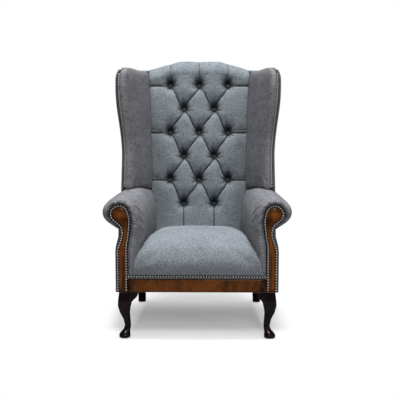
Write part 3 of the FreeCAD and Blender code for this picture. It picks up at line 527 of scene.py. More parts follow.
def swell(piece, held, pressure, most):
    """Blows the padding up under its cloth, by no more than most. held is 1 where the frame holds it."""
    before = read_points(piece.data)
    group = piece.vertex_groups.new(name="held")
    for i in np.nonzero(held > 0.01)[0]:
        group.add([int(i)], float(held[i]), "REPLACE")
    cloth = add_modifier(piece, "CLOTH")
    for name, value in (
        ("quality", 3), ("mass", 0.25), ("tension_stiffness", 12), ("compression_stiffness", 12),
        ("bending_stiffness", 0.8), ("use_pressure", True), ("uniform_pressure_force", pressure),
        ("vertex_group_mass", "held"),
    ):
        setattr(cloth.settings, name, value)
    cloth.settings.effector_weights.gravity = 0
    cloth.point_cache.frame_start = 1
    cloth.point_cache.frame_end = SWELLING_FRAMES
    for number in range(1, SWELLING_FRAMES + 1):
        scene.frame_set(number)
    bake_modifiers(piece)
    scene.frame_set(1)
    moved = read_points(piece.data) - before
    length = np.linalg.norm(moved, axis=1)
    limited = most * np.tanh(length / most)
    moved *= (limited / np.maximum(length, 1e-9))[:, None]
    write_points(piece.data, before + moved * (1 - np.clip(held, 0, 1))[:, None])
    piece.vertex_groups.clear()


# Arms
def arc(start, middle, end, count=10):
    """Points along the arc from start through middle to end, without its last point."""
    (ax, ay), (bx, by), (cx, cy) = start, middle, end
    a, b, c = ax**2 + ay**2, bx**2 + by**2, cx**2 + cy**2
    d = 2 * (ax * (by - cy) + bx * (cy - ay) + cx * (ay - by))
    ux = (a * (by - cy) + b * (cy - ay) + c * (ay - by)) / d
    uy = (a * (cx - bx) + b * (ax - cx) + c * (bx - ax)) / d
    radius = math.hypot(ax - ux, ay - uy)
    a0, a1, a2 = (math.atan2(y - uy, x - ux) for x, y in (start, middle, end))
    turn = (a2 - a0) % (2 * math.pi)
    if (a1 - a0) % (2 * math.pi) > turn:
        turn -= 2 * math.pi
    angles = [a0 + turn * i / count for i in range(count)]
    return [(ux + radius * math.cos(angle), uy + radius * math.sin(angle)) for angle in angles]


def scroll_line(bottom):
    """Nail line of the left arm front, from the foot of its outer side round to its inner side."""
    zc = SCROLL_HEIGHT
    out = -(BODY_FRONT - 0.010)
    inner = out + 0.035
    line = [(out, bottom), (out, SHOULDER)]
    line += arc((out, SHOULDER), (out + 0.011, SHOULDER + 0.028), (out + 0.018, NECK), 6)[1:]
    line += arc((out + 0.018, NECK), (out + 0.020, NECK + 0.024), (out + 0.011, zc - 0.045), 6)
    line += [(out + 0.011, zc - 0.045)]
    line += arc((out - 0.014, zc - 0.023), (out - 0.027, zc + 0.007), (out - 0.011, zc + 0.032))
    line += arc((out - 0.011, zc + 0.032), (out + 0.013, zc + 0.038), (out + 0.034, zc + 0.027))
    line += arc((out + 0.034, zc + 0.027), (out + 0.046, zc - 0.002), (out + 0.049, zc - 0.037))
    line += [(out + 0.049, zc - 0.037), (inner + 0.008, NECK)]
    line += [(inner, SHOULDER + 0.011), (inner, bottom)]
    return np.array(line)


def distance_to(line, points):
    """Distance from each point to an open line, and how far along the line its nearest place is."""
    best = np.full(len(points), FAR)
    along = np.zeros(len(points))
    start = 0.0
    for a, b in zip(line[:-1], line[1:]):
        step = b - a
        length = np.linalg.norm(step)
        t = np.clip(((points - a) @ step) / length**2, 0, 1)
        gap = np.linalg.norm(points - a - t[:, None] * step, axis=1)
        nearer = gap < best
        best[nearer] = gap[nearer]
        along[nearer] = (start + t * length)[nearer]
        start += length
    return best, along


def build_arms():
    """Padded scroll arms, gathered round the facing at the front."""
    arm = from_solids("arm_upholstery_left", ["arm_pad_left", "arm_cover_left"], 0.0065, 5)
    x, f, z = read_places(arm)
    post = (np.abs(x - SIDE_LEAN * f + 0.315) < 0.028) & (z < 0.47)
    held = np.where(post | (z < 0.30) | (f < 0.006), 1.0, 0.0)
    swell(arm, np.maximum(held, smooth_step((f - 0.55) / 0.05)), 3.6, 0.013)
    line = scroll_line(0.286)

    def from_nails(x, f, z):
        """Distance from the nails, how much of the scroll's head a point has, and the gathers there."""
        gap, along = distance_to(line, np.column_stack((x - SIDE_LEAN * f, z)))
        gathers = np.sin(along * 2 * np.pi / 0.021 + 3 * np.sin(along * 55))
        return gap, smooth_step((z - HEAD_START) / 0.05), gathers

    def gather(p):
        x, f, z = p.T.copy()
        gap, head, gathers = from_nails(x, f, z)
        front = 1 - smooth_step((f - 0.012) / 0.055)
        ring = np.sin(np.pi * np.clip(gap / 0.064, 0, 1)) ** 0.8
        puff = 0.020 * ring * front * (0.80 + 0.20 * head)
        ripple = gathers * bump(gap - 0.020, 0.016)
        puff += 0.0016 * ripple * (1 - smooth_step((f - 0.02) / 0.05)) * (0.3 + 0.7 * head)
        p[:, 1] -= puff
        sag = 0.0016 * waves(p, 0.075, 3)
        p[:, 2] += sag * smooth_step((z - 0.40) / 0.1)
        p[:, 0] += 0.5 * sag

    bend_points(arm, gather)
    x, f, z = read_places(arm)
    gap, head, gathers = from_nails(x, f, z)
    # Painted shade: a dark ring round the nails, where the wool is gathered in round the facing.
    nails = 0.97 * bump(gap, (0.011 + 0.006 * head) * (1 + 0.22 * gathers))
    nails *= 1 - smooth_step((f - 0.004) / 0.012)
    # Painted shade where the arm meets the back and low down beside the seat, on faces turned inwards,
    # and a little on faces turned up to the light.
    ahead = pad_face(BACK_HALF, z) - 0.004 - f
    against_back = 0.80 * beyond(ahead, 0.014, 1.5) + 0.15 * beyond(ahead, 0.080)
    beside_seat = 0.45 * smooth_step((0.470 - z) / 0.10) * smooth_step((f - 0.06) / 0.12)
    facing = read_normals(arm.data)
    inward = 0.24 * smooth_step((facing[:, 0] - 0.30) / 0.45)
    upward_shade = 0.15 * smooth_step((facing[:, 2] - 0.45) / 0.45)
    store_painted_shade(arm, nails, (x > -0.300) * np.maximum(against_back, beside_seat), inward, upward_shade)
    finish_padding(arm, "arm")


def finish_padding(padding, stem):
    """Smooths the left and right padding and puts it in the place of its CAD pads and covers."""
    for piece, side in both_sides(padding):
        add_modifier(piece, "SUBSURF", levels=1, render_levels=1)
        dress(piece, "arm_and_wing_wool", stem + "_pad_" + side, stem + "_cover_" + side)


# Wings
def top_rounding(z, most=math.inf):
    """How far the rounded top corner of the wing falls back at height z, up to most above its start."""
    rolled = np.clip(z - WING_TURN, 0.0, most)
    return WING_ROUNDING - np.sqrt(np.maximum(0.0, WING_ROUNDING**2 - rolled**2))


def top_draw(z):
    """How far the top outer corner of the wing is drawn in by its rounding at height z."""
    return 0.22 * top_rounding(z, 0.056)


def wing_edge(z):
    """Outer front corner of the wing at height z, as x and setback."""
    rise = (z - ARM_HEIGHT) / (WING_HEIGHT - ARM_HEIGHT)
    flare = 0.343 + 0.0245 * smooth_step((rise - 0.25) / 0.60)
    flare += 0.0035 * np.clip(1 - np.maximum(rise, 0) / 0.30, 0, 1) ** 2
    corner = top_rounding(z)
    sway = 0.322 + 0.026 * np.sin(math.pi * np.clip(rise, 0, 0.78) / 0.78) ** 2
    return -(flare - 0.35 * corner), sway + corner * 1.6


def build_wings():
    """Padded wings with a rounded front edge and top."""
    wing = from_solids("wing_upholstery_left", ["wing_pad_left", "wing_cover_left"], 0.0065, 6)
    x, f, z = read_places(wing)
    outer = np.where(x < -(BODY_FRONT - 0.055 * smooth_step((f - 0.33) / 0.35)) + 0.02, 1.0, 0.0)
    foot = smooth_step((ARM_HEIGHT + 0.025 - z) / 0.045)
    rear = smooth_step((f - back_face(z) + 0.13) / 0.03)
    swell(wing, highest(outer, foot, rear), 3.0, 0.008)

    def settle(p):
        amount = 0.0022 * waves(p, 0.16, 5) + 0.0008 * waves(p * np.array((1.0, 1.0, 3.0)), 0.09, 6)
        amount *= smooth_step((p[:, 0] + 0.345) / 0.03)
        p[:, 0] += amount
        p[:, 1] -= 0.5 * amount
        outward = (-p[:, 0] - 0.225) / 0.140
        tip = 0.010 * smooth_step((outward - 0.35) / 0.35) - 0.010
        tip -= 0.004 * smooth_step((outward - 0.85) / 0.15)
        p[:, 0] += top_draw(p[:, 2]) * smooth_step((outward - 0.5) / 0.4)
        p[:, 2] += tip * smooth_step((p[:, 2] - 1.04) / 0.09)

    bend_points(wing, settle)
    x, f, z = read_places(wing)
    # Painted shade where the wing meets the back and the arm, round its nails, a little over the whole
    # wing, and more on faces turned inwards.
    ahead = pad_face(BACK_HALF, z) + 0.006 - f
    against_back = 0.85 * beyond(ahead, 0.018, 1.5) + 0.28 * beyond(ahead, 0.110)
    on_arm = 0.55 * beyond(z - ARM_HEIGHT - 0.002, 0.010, 1.5)
    x_edge, f_edge = wing_edge(z)
    nails = 0.85 * bump(x - x_edge - top_draw(z) - 0.010, 0.0065) * (f < f_edge + 0.020)
    inward = 0.21 + 0.12 * smooth_step((read_normals(wing.data)[:, 0] - 0.30) / 0.45)
    store_painted_shade(wing, (x > -0.335) * np.maximum(against_back, on_arm), nails, inward)
    finish_padding(wing, "wing")


# Seat
def build_seat():
    """Sprung seat: a crowned cushion whose cover comes down over the lip to the nails."""
    lip = (-0.292, 0.0005 - MIDDLE, 0.262), (0.292, 0.0145 - MIDDLE, 0.298)
    seat = from_solids("seat_upholstery", ["seat_pad"], 0.0075, 5, lip)
    x, f, z = read_places(seat)
    held = np.where(z < 0.304, 1.0, 0.0)
    swell(seat, np.maximum(held, smooth_step((f - 0.48) / 0.03)), 3.5, 0.012)

    def settle(p):
        top = smooth_step((p[:, 2] - 0.31) / 0.05)
        p[:, 2] += 0.0020 * waves(p, 0.17, 8) * top
        p[:, 1] -= 0.0012 * waves(p, 0.06, 9) * (1 - smooth_step((p[:, 1] - 0.02) / 0.05)) * top
        f, z = p[:, 1], p[:, 2]
        front = f < 0.0080
        hem = np.where(front, smooth_step((0.306 - z) / 0.026), smooth_step((0.2835 - z) / 0.004))
        plane = np.where(front, -0.0012 * np.sin(np.pi * np.clip((z - 0.262) / 0.05, 0, 1)), 0.0024)
        f += (plane - f) * hem * (f < 0.022)
        low = z < 0.276
        press_down(z, 0.2622, 0.276)
        p[low, 0] *= 0.2925 / np.abs(p[low, 0]).max()

    bend_points(seat, settle)
    x, f, z = read_places(seat)
    # Painted shade: a dark band behind the nails along the front of the seat.
    store_painted_shade(seat, 0.80 * bump(z - 0.2715, 0.0075, 4) * (f < 0.004))
    add_modifier(seat, "SUBSURF", levels=1, render_levels=1)
    dress(seat, "seat_and_back_wool", "seat_pad", "seat_cover")


# Buttoned back
def button_rows():
    """Rows of x and height, from the top row down."""
    rows = []
    for row in range(6):
        z = BUTTON_LOW + (5 - row) * BUTTON_PITCH
        xs = (-BUTTON_SIDE, 0.0, BUTTON_SIDE) if row % 2 == 0 else (-BUTTON_HALF, BUTTON_HALF)
        rows.append([(x, z) for x in xs])
    return rows


def pleats():
    """Folds between the buttons and out to the edges: ends, depth, how dark the painted shade along the
    line is, and its bow.
    """
    rows = button_rows()
    folds = []
    for upper, lower in zip(rows, rows[1:]):
        near = [(a, b) for a in upper for b in lower if abs(a[0] - b[0]) < BUTTON_SIDE * 0.75]
        folds += [(a, b, 0.0120, 1.0, 0.0035) for a, b in near]
    folds += [((x, z), (x + 0.002, z + 0.30), 0.0050, 0.5, 0.0) for x, z in rows[0]]
    folds += [((x, z), (x, z - 0.25), 0.0060, 0.8, 0.0) for x, z in rows[-1]]
    for row, second in ((rows[0], 0.0), (rows[2], 0.020), (rows[4], 0.017)):
        for x, z in (row[0], row[-1]):
            side = math.copysign(BACK_HALF + 0.02, x)
            folds.append(((x, z), (side, z - 0.002), 0.0100, 0.85, 0.0))
            if second:
                folds.append(((x, z + 0.004), (side, z + second), 0.0060, 0.45, 0.002))
    return folds


def pulled_by_pleats(x, s):
    """How deep the pleats are at x and height s along the back, and the painted shade along their lines.
    """
    points = np.column_stack((x, s))
    soft = np.zeros(len(x))
    line = np.zeros(len(x))
    for start, end, depth, dark, bowed in pleats():
        a, b = np.array(start), np.array(end)
        step = b - a
        length = np.linalg.norm(step)
        t = np.clip(((points - a) @ step) / length**2, 0, 1)
        side = np.array((-step[1], step[0])) / length
        offset = points - a - t[:, None] * step
        signed = offset @ side - bowed * np.sin(2 * np.pi * t)
        gap = np.hypot(signed, offset @ (step / length))
        above = signed * (side[1] if abs(side[1]) > 0.05 else 1) > 0
        width = np.where(above, 0.0075, 0.0042) if bowed else 0.0050
        soft = np.maximum(soft, depth * beyond(gap, width) + 0.42 * depth * bump(gap, 0.027))
        # Painted shade along each pleat line.
        line = np.maximum(line, dark * bump(gap, 0.0031, 2.5))
    return soft, line


def tufting(x, s):
    """How far the cloth is pulled in at x and height s along the back, and the painted shade there."""
    soft, line = pulled_by_pleats(x, s)
    hole = np.full(len(x), FAR)
    shade = np.full(len(x), FAR)
    angle = np.zeros(len(x))
    turn = np.zeros(len(x))
    for bx, bz in sum(button_rows(), []):
        dx, dz = x - bx, s - bz
        gap = np.hypot(dx, np.where(dz > 0, dz * 0.62, dz * 1.2))
        nearer = gap < hole
        hole[nearer] = gap[nearer]
        angle[nearer] = np.arctan2(dz, dx)[nearer]
        turn[nearer] = bx * 37 + bz * 53
        wide = 1.05 + 8.0 * np.clip(-dz, 0, 0.01) - 6.0 * np.clip(dz, 0, 0.03)
        tall = np.where(dz > 0.006, 0.60, 0.95)
        shade = np.minimum(shade, np.hypot(dx * wide, (dz - 0.006) * tall))
    well = (BUTTON_DEPTH - 0.001) * beyond(hole - 0.009, 0.0150, 1.35) + 0.0060 * bump(hole, 0.046)
    spokes = np.sin(angle * 9 + turn) + 0.8 * np.sin(angle * 14 + 2.3 * turn)
    spokes += 0.5 * np.sin(angle * 23 + turn)
    gathers = 0.0013 * spokes * bump(hole - 0.023, 0.013)
    left = (1 - np.clip(soft / BUTTON_DEPTH, 0, 1)) * (1 - np.clip(well / BUTTON_DEPTH, 0, 1))
    # Painted shade along the pleat lines, in the hollow above each button and in the gathers round it.
    hollow_shade = highest(
        line, bump(shade, 0.0212, 4), 0.45 * np.clip(spokes, 0, 2) * bump(hole - 0.022, 0.009))
    return BUTTON_DEPTH * (1 - left) + gathers, np.clip(hollow_shade, 0, 1)


def build_back():
    """Inside back, buttoned in diamonds, rolled over the crest and closed on the frame behind."""
    bm = bmesh.new()
    bmesh.ops.create_grid(bm, x_segments=216, y_segments=420, size=0.5)
    ring = bmesh.ops.extrude_edge_only(bm, edges=[e for e in bm.edges if e.is_boundary])["geom"]
    ring_points = [v for v in ring if isinstance(v, bmesh.types.BMVert)]
    bmesh.ops.holes_fill(bm, edges=[e for e in ring if isinstance(e, bmesh.types.BMEdge)], sides=0)
    bm.verts.index_update()
    rear = np.array([v.index for v in ring_points])
    piece = new_piece("back_upholstery", bm)
    flat = read_points(piece.data)
    x = flat[:, 0] * 2 * BACK_HALF
    v = flat[:, 1] + 0.5

    # Each line up the back runs up the face, over the roll of the crest, and back to the frame.
    top = crest_height(x)
    turn = top - CREST_ROLL
    face = turn - BACK_FOOT
    bend = CREST_ROLL * math.pi / 2
    run = back_face(top) - REAR_GAP - pad_face(x, top) - CREST_ROLL
    s = v * (face + bend + run)
    height = BACK_FOOT + s
    on_face = s <= face
    angle = np.clip((s - face) / CREST_ROLL, 0, math.pi / 2)
    past = np.clip(s - face - bend, 0, None)
    z = np.where(on_face, height, turn + CREST_ROLL * np.sin(angle)) - 0.003 * past / run
    rolled = pad_face(x, turn) + (CREST_ROLL + 0.010) * (1 - np.cos(angle)) + past
    f = np.where(on_face, pad_face(x, height), rolled)
    tilt = RAKE_ANGLE + angle * (1 - RAKE_ANGLE / (math.pi / 2))

    # The buttoning, lumps and rounded sides go in square to that line.
    deep, hollow_shade = tufting(x, height)
    fade = 1 - 0.75 * smooth_step(past / 0.03)
    lumps = 0.0016 * flat_waves(x, s, 0.085, 2) + 0.0007 * flat_waves(x, s, 0.03, 4)
    rounded = 0.010 * beyond(BACK_HALF - np.abs(x), 0.016)
    deep = deep * fade - lumps - 0.003 * np.cos(x / BACK_HALF * math.pi / 2) + rounded
    f += deep * np.cos(tilt)
    z -= deep * np.sin(tilt)
    z[rear] = np.minimum(z[rear], top[rear] - 0.075)
    f[rear] = back_face(z[rear]) - 0.052
    write_places(piece, x, f, z)

    # Painted shade where the back meets the wings, and a little toward its sides, fading out near the
    # top.
    edge = 0.8 * beyond(BACK_HALF - 0.011 - np.abs(x), 0.007, 1.5)
    sides = 0.17 * smooth_step((np.abs(x) / BACK_HALF - 0.40) / 0.40) * smooth_step((1.02 - z) / 0.1)
    store(piece.data, "painted_shade", highest(hollow_shade, edge, sides) * fade)

    def close_rear(bm):
        bm.verts.ensure_lookup_table()
        bmesh.ops.remove_doubles(bm, verts=[bm.verts[i] for i in rear], dist=0.0004)

    edit_mesh(piece, close_rear)
    dress(piece, "seat_and_back_wool", "back_pad", "back_cover", material="back_wool")


def build_buttons():
    """Covered buttons, each a domed disc with cloth drawn round its edge."""
    bm = bmesh.new()
    upright = Matrix.Rotation(math.pi / 2 - RAKE_ANGLE, 4, "X")
    depth = BUTTON_DEPTH - 0.0022
    for x, z in sum(button_rows(), []):
        made = new_dome(bm, 28, 14, BUTTON_RADIUS)
        for vertex in made:
            p = vertex.co
            rim = math.hypot(p.x, p.y) / BUTTON_RADIUS
            drawn = 0.0002 * math.sin(9 * math.atan2(p.y, p.x)) * rim**3
            p.z = p.z * (0.42 if p.z > 0 else 0.16) + drawn
        y = pad_face(x, z) - MIDDLE + depth * math.cos(RAKE_ANGLE)
        place = Matrix.Translation((x, y, z - depth * math.sin(RAKE_ANGLE))) @ upright
        bmesh.ops.transform(bm, matrix=place, verts=made)
    buttons = new_piece("back_buttons_covered", bm)
    # Painted shade: the buttons are painted dark, as they sit deep in their hollows.
    store(buttons.data, "painted_shade", np.full(len(buttons.data.vertices), 0.80))
    dress(buttons, "seat_and_back_wool", "back_buttons", material="back_wool")


# Outside cloth
def build_outside_back():
    """Cloth of the outside back, stretched from the foot to the crest."""
    piece, u, v = new_sheet("outside_back_cloth", 90, 140)
    x = (2 * u - 1) * BODY_REAR
    z = CLOTH_FOOT + v * (crest_height(x) - 0.002 - CLOTH_FOOT)
    edge = np.minimum(1 - np.abs(2 * u - 1), np.minimum(v, 1 - v) * 1.6)
    crown = 0.0035 * (1 - beyond(edge, 0.06)) - 0.0015 + 0.0008 * flat_waves(x, z, 0.2, 7)
    write_places(piece, x, back_face(z) + crown, z)
    edit_mesh(piece, lambda bm: bmesh.ops.reverse_faces(bm, faces=bm.faces))
    thicken(piece)
    dress(piece, "arm_and_wing_wool", "outside_back")


def outer_line(z, f):
    """Left side of the chair at height z and setback f, with the waist of the scroll at the front."""
    heights = (0.0, SHOULDER - 0.012, SHOULDER + 0.012, NECK, NECK + 0.06)
    waist = np.interp(z, heights, (0.0, 0.0, 0.003, 0.014, 0.015))
    return -BODY_FRONT + SIDE_LEAN * f + waist * (1 - f / 0.700)


def build_outside_arms():
    """Cloth of the outside arm, from the facing's nails round the corner to the rear."""
    piece, u, v = new_sheet("outside_arm_cloth_left", 120, 60)
    z = CLOTH_FOOT + v * 0.300
    nail = np.interp(
        z, (0.0, SHOULDER, SHOULDER + 0.028, NECK, NECK + 0.024, 0.488, 0.6),
        (-0.332, -0.332, -0.321, -0.314, -0.312, -0.321, -0.303))
    corner = outer_line(z, 0.0)
    share = np.clip(u / ARM_WRAP, 0, 1)
    side = np.clip((u - ARM_WRAP) / (1 - ARM_WRAP), 0, 1)
    turned = u < ARM_WRAP
    f = side * (back_face(z) - REAR_GAP)
    x = np.where(turned, nail + (corner - nail) * share, outer_line(z, f))
    f = np.where(turned, 0.0, f)
    rounding = 0.0035 * beyond(side * 0.65, 0.004) * share**4
    x += rounding
    f += rounding
    slack = smooth_step(side / 0.08) * smooth_step((1 - side) / 0.05)
    x -= 0.0014 * flat_waves(f, z, 0.16, 12) * slack
    x += 0.012 * smooth_step((z - 0.474) / 0.012) * smooth_step((0.61 - f) / 0.02)
    write_places(piece, x, f, z)
    # Painted shade on the strip that turns round from the nails to the side.
    store(piece.data, "painted_shade", np.where(u < ARM_WRAP + 0.005, 0.62, 0.0))
    thicken(piece)
    bake_modifiers(piece)
    for cloth, side in both_sides(piece):
        dress(cloth, "arm_and_wing_wool", "outside_arm_" + side)


def build_outside_wings():
    """Cloth of the outside wing, from its nails round the corner and down behind the arm roll."""
    piece, u, v = new_sheet("outside_wing_cloth_left", 70, 110)
    low = 0.470 + 0.076 * (1 - smooth_step((u - 0.80) / 0.06))
    z = low + v * (WING_HEIGHT - 0.007 - 0.007 * beyond(u - WING_WRAP, 0.10) - low)
    x_edge, f_edge = wing_edge(z)
    side = np.clip((u - WING_WRAP) / (1 - WING_WRAP), 0, 1)
    around = np.clip(u / WING_WRAP, 0, 1)
    f = f_edge - 0.0015 + side * (back_face(z) - REAR_GAP - f_edge + 0.0015)
    x = x_edge + (-BODY_REAR - x_edge) * (f - f_edge) / (back_face(z) - f_edge) - 0.001
    x += top_draw(z) * (1 - side) + 0.0125 * (1 - around) + 0.0020 * beyond(side, 0.008) * around
    f -= 0.0010 * (1 - around)
    slack = smooth_step(u / 0.08) * smooth_step((1 - u) / 0.08)
    x -= 0.0014 * flat_waves(f, z, 0.17, 14) * slack
    write_places(piece, x, f, z)
    # Painted shade on the strip that turns round from the nails, darkest at the nails, and a little over
    # the rest of the cloth, as on the wing.
    store(piece.data, "painted_shade", np.where(around < 0.999, 0.50 + 0.40 * (1 - around), 0.21))
    thicken(piece)
    bake_modifiers(piece)
    for cloth, side in both_sides(piece):
        dress(cloth, "arm_and_wing_wool", "outside_wing_" + side)


def build_bottom_cloth():
    """Dust cloth under the seat, tacked round its edges and hanging a little in the middle."""
    piece, u, v = new_sheet("bottom_cloth_sheet", 60, 60)
    u = 2 * u - 1
    depth = v * 0.6235
    f = 0.0075 + depth
    x = u * (0.328 - SIDE_LEAN * depth)
    hang = 0.0030 * (1 - u**4) * (1 - (2 * v - 1) ** 4) + 0.0006 * flat_waves(x, f, 0.12, 19)
    write_places(piece, x, f, LEG_HEIGHT - 0.0003 - hang)
    thicken(piece, 0.0008)
    dress(piece, "bottom_cloth", "bottom_cloth")


# Leather
def crowned_panel(name, outline, front, lift, rim, thickness):
    """Leather panel: a flat outline at setback front, raised by the gap to its edge, and darkened by its
    stored rim value.
    """
    bm = bmesh.new()
    face = bm.faces.new([bm.verts.new((x, front - MIDDLE, z)) for x, z in outline])
    face.normal_update()
    if face.normal.y > 0:
        bmesh.ops.reverse_faces(bm, faces=[face])
    bmesh.ops.triangulate(bm, faces=bm.faces)
    for _ in range(5):
        wide = [e for e in bm.edges if e.calc_length() > 0.0045]
        bmesh.ops.subdivide_edges(bm, edges=wide, cuts=1)
        bmesh.ops.triangulate(bm, faces=bm.faces)
        bmesh.ops.beautify_fill(bm, faces=bm.faces, edges=bm.edges)
    piece = new_piece(name, bm)
    points = read_points(piece.data)
    gap, _ = distance_to(np.vstack((outline, outline[:1])), points[:, [0, 2]])
    lumps = 0.0004 * waves(points, 0.03, 17) * smooth_step(gap / 0.006)
    points[:, 1] -= lift(points, gap) + lumps
    write_points(piece.data, points)
    store(piece.data, "rim", rim(points, gap))
    thicken(piece, thickness)
    bake_modifiers(piece)
    return piece


def dome(gap, reach):
    """Round rise from 0 at no gap to 1 at reach."""
    return np.sqrt(1 - (1 - np.clip(gap / reach, 0, 1)) ** 2)


def build_facings():
    """Leather facings on the arm fronts, full at the head of the scroll and at the waist."""
    def lift(points, gap):
        z = points[:, 2]
        head = smooth_step((z - 0.455) / 0.035)
        waist = smooth_step((z - SHOULDER) / 0.004) * (1 - head)
        crease = 0.0012 * bump(z - SHOULDER + 0.001, 0.0022)
        height = 0.0030 + 0.0045 * head + 0.0042 * waist - crease
        return height * dome(gap - 0.0069, 0.0125 + 0.008 * head - 0.001 * waist)

    def rim(points, gap):
        x, z = points[:, 0], points[:, 2]
        stain = 0.70 * bump(x + 0.310, 0.0060) * smooth_step((SHOULDER - 0.012 - z) / 0.02)
        stain *= smooth_step(0.5 + 1.5 * waves(points, 0.05, 21))
        # Over the head of the scroll the leather is painted darker, painted shade, with a lighter spot in
        # its middle and a lighter band at the waist, painted highlights; elsewhere a little darker dye.
        rubbed = np.hypot((x + BODY_FRONT - 0.020) / 0.017, (z - SCROLL_HEIGHT - 0.002) / 0.015)
        under = (0.30 + 0.35 * smooth_step((z - NECK - 0.02) / 0.03)) * (1 - bump(rubbed, 1))
        under *= 1 - 0.9 * bump(z - SHOULDER - 0.028, 0.022)
        return highest(bump(gap, 0.0105, 2.2), stain, under)

    # The leather goes a little past its nail line, on the outer side.
    line = scroll_line(LEG_HEIGHT + 0.002)
    ahead, behind = np.roll(line, -1, axis=0), np.roll(line, 1, axis=0)
    ahead[-1], behind[0] = line[-1], line[0]
    outward = (ahead - behind)[:, ::-1] * (-1, 1)
    line = line + 0.0034 * outward / np.linalg.norm(outward, axis=1)[:, None]
    facing = crowned_panel("arm_facing_leather_left", line, -0.0012, lift, rim, 0.002)
    for piece, side in both_sides(facing):
        dress(piece, "antique_leather", "arm_facing_" + side)


def build_border():
    """Leather border under the seat, with a seam near each end."""
    def lift(points, gap):
        seam = bump(np.abs(points[:, 0]) - 0.268, 0.0015)
        return 0.0035 * dome(gap, 0.010) * (1 - 0.5 * seam)

    def rim(points, gap):
        ends = 0.34 + 0.42 * smooth_step((np.abs(points[:, 0]) - 0.263) / 0.006)
        upper = 0.65 * bump(BORDER_TOP - points[:, 2], 0.006)
        return highest(ends, upper, 0.75 * bump(gap, 0.006, 1.5))

    half = 0.2955
    low, high = CLOTH_FOOT, BORDER_TOP
    outline = np.array([(-half, low), (-half, high), (half, high), (half, low)])
    border = crowned_panel("front_border_leather", outline, 0.0012, lift, rim, 0.0015)
    dress(border, "antique_leather", "front_border")


# Nails and legs
def islands(node):
    """Middle of the base of each separate solid of a CAD node, in their order, and the way it points."""
    bm = bmesh.new()
    bm.from_mesh(cad[node].data)
    bmesh.ops.remove_doubles(bm, verts=bm.verts, dist=1e-6)
    found = []
    reached = set()
    for first in bm.verts:
        if first in reached:
            continue
        reached.add(first)
        group = [first]
        for vertex in group:
            for edge in vertex.link_edges:
                other = edge.other_vert(vertex)
                if other not in reached:
                    reached.add(other)
                    group.append(other)
        faces = list(dict.fromkeys(f for v in group for f in v.link_faces))
        largest = max(faces, key=lambda f: f.calc_area())
        flat = [f for f in faces if f.normal.dot(largest.normal) > 0.999]
        area = sum(f.calc_area() for f in flat)
        base = sum((f.calc_center_median() * f.calc_area() for f in flat), Vector()) / area
        found.append((base, -largest.normal))
    bm.free()
    return found


def build_nails():
    """Antique nail heads: low domes, painted near white in the middle as a glint and dark round the rim,
    each set a little differently.
    """
    for node in [name for name in cad if "nails" in name]:
        bm = bmesh.new()
        rim = bm.verts.layers.float.new("rim")
        for base, outward in islands(node):
            if "wing" in node:
                base.x -= math.copysign(float(top_draw(base.z)), base.x)
            made = new_dome(bm, 14, 10, NAIL_RADIUS)
            for vertex in made:
                share = math.hypot(vertex.co.x, vertex.co.y) / NAIL_RADIUS
                vertex[rim] = smooth_step(np.array((share - 0.43) / 0.22))
                vertex.co.z *= 0.62 if vertex.co.z > 0 else 0.12
            tip = Vector(rng.normal(0, 0.07, 3))
            turn = (outward + tip).to_track_quat("Z", "Y").to_matrix().to_4x4()
            place = Matrix.Translation(base + outward * 0.0005) @ turn
            bmesh.ops.transform(bm, matrix=place, verts=made)
        dress(new_piece(node + "_domed", bm), "antique_nails", node)


def build_legs():
    """Polished legs, with the facets of the carving worn smooth and the feet down on their glides."""
    for node, voxel, smoothing in (("front_leg", 0.0020, 6), ("rear_leg", 0.0022, 3)):
        leg = from_solids(node + "_carved_left", [node + "_left"], voxel, smoothing)
        points = read_points(leg.data)
        press_down(points[:, 2], 0.0021, 0.014)
        write_points(leg.data, points)
        for piece, side in both_sides(leg):
            dress(piece, "dark_mahogany", node + "_" + side)


def finish_frame():
    """Materials for the CAD nodes that stay as they are."""
    slots = {part["node"]: part["material_slot"] for part in frame["record"]["subparts"]}
    for name, node in cad.items():
        if not node.hide_render:
            node.data.materials.clear()
            node.data.materials.append(MATERIALS[slots[name]])


# Studio
def seen_directly(tree):
    """The path of a ray, and 1 where it comes straight from the camera."""
    path = put(tree, "ShaderNodeLightPath").outputs
    return path, sums(tree, "MAXIMUM", path["Is Camera Ray"], path["Is Transmission Ray"])


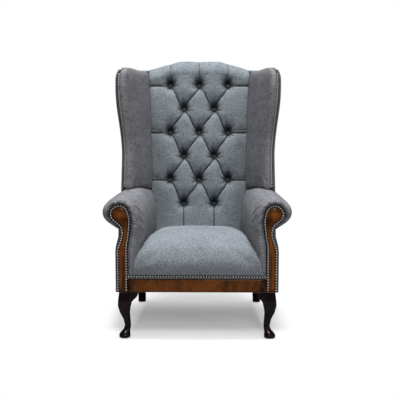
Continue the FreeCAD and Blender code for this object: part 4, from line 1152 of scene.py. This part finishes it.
def build_floor():
    """Pale floor that fades to white away from the chair, with painted light that thins the chair's
    shadow beside it, under its front and under its rear.
    """
    bm = bmesh.new()
    bmesh.ops.create_circle(bm, cap_ends=True, segments=96, radius=14.0)
    floor = new_piece("floor", bm)
    material = bpy.data.materials.new("studio_floor")
    tree = empty_tree(material)
    point = put(tree, "ShaderNodeTexCoord").outputs["Object"]
    away = put(tree, "ShaderNodeVectorMath", {0: point}, operation="LENGTH").outputs["Value"]
    axes = put(tree, "ShaderNodeSeparateXYZ", {0: point}).outputs
    # Painted light: the floor goes white close beside the chair, where its shadow would fall.
    painted_light_beside = ramp(tree, sums(tree, "ABSOLUTE", axes[0]), 0.352, 0.440)
    far = sums(tree, "MAXIMUM", ramp(tree, away, 0.65, 1.6), painted_light_beside)
    # Painted light: more glow in bands under the chair's front and rear, thinning its shadow there.
    front = [ramp(tree, axes[1], start, end) for start, end in ((-0.17, -0.31), (-0.365, -0.335))]
    front = sums(tree, "MULTIPLY", *front)
    glow_and_painted_light = sums(tree, "MULTIPLY_ADD", front, 0.27, 0.30)
    glow_and_painted_light = sums(tree, "MULTIPLY_ADD", ramp(tree, axes[1], 0.06, 0.38), 0.31, glow_and_painted_light)
    path, seen = seen_directly(tree)
    tone = sums(tree, "MULTIPLY_ADD", seen, 0.47, 0.38)
    tone = sums(tree, "MULTIPLY_ADD", path["Is Glossy Ray"], -0.16, tone)
    shade = put(tree, "ShaderNodeCombineXYZ", {i: tone for i in range(3)})
    cover = put(tree, "ShaderNodeBsdfDiffuse", {"Color": shade.outputs[0]})
    strength = sums(tree, "MULTIPLY", seen, glow_and_painted_light)
    glow = put(tree, "ShaderNodeEmission", {"Color": WHITE, "Strength": strength})
    near = put(tree, "ShaderNodeAddShader", {0: cover.outputs[0], 1: glow.outputs[0]})
    white = put(tree, "ShaderNodeEmission", {"Color": WHITE, "Strength": 1.0})
    mixed = put(tree, "ShaderNodeMixShader", {
        0: sums(tree, "MULTIPLY", far, seen), 1: near.outputs[0], 2: white.outputs[0]})
    tree.links.new(mixed.outputs[0], put(tree, "ShaderNodeOutputMaterial").inputs[0])
    floor.data.materials.append(material)


def build_studio():
    """White surroundings, soft light from above and in front, and the camera."""
    scene.world = bpy.data.worlds.new("studio_world")
    tree = empty_tree(scene.world)
    strength = sums(tree, "MULTIPLY_ADD", seen_directly(tree)[1], 0.94, 0.06)
    sky = put(tree, "ShaderNodeBackground", {"Color": WHITE, "Strength": strength})
    tree.links.new(sky.outputs[0], put(tree, "ShaderNodeOutputWorld").inputs[0])

    target = Vector((0, 0, 0.55))
    for name, place, size, power in (
        ("top_softbox", (0.0, -0.50, 3.9), (2.6, 1.8), 205.0),
        ("front_softbox", (0.5, -3.6, 2.3), (1.0, 1.0), 36.0),
        ("right_softbox", (2.6, -2.6, 1.1), (0.35, 1.5), 8.0),
    ):
        lamp = bpy.data.lights.new(name, "AREA")
        lamp.shape = "RECTANGLE"
        lamp.size, lamp.size_y = size
        lamp.energy = power
        light = link_new(name, lamp)
        light.location = place
        light.rotation_euler = (target - Vector(place)).to_track_quat("-Z", "Y").to_euler()

    camera = link_new("camera", bpy.data.cameras.new("camera"))
    camera.data.lens = 76.56
    camera.data.sensor_width = 36.0
    camera.data.clip_end = 60.0
    camera.location = (0.05735, -3.5 - MIDDLE, 1.0352)
    camera.rotation_euler = (math.radians(90 - 7.148), 0, math.radians(0.732))
    scene.camera = camera
    scene.view_settings.view_transform = "Standard"


build_materials()
build_arms()
build_wings()
build_seat()
build_back()
build_buttons()
build_outside_back()
build_outside_arms()
build_outside_wings()
build_bottom_cloth()
build_facings()
build_border()
build_nails()
build_legs()
finish_frame()
build_floor()
build_studio()
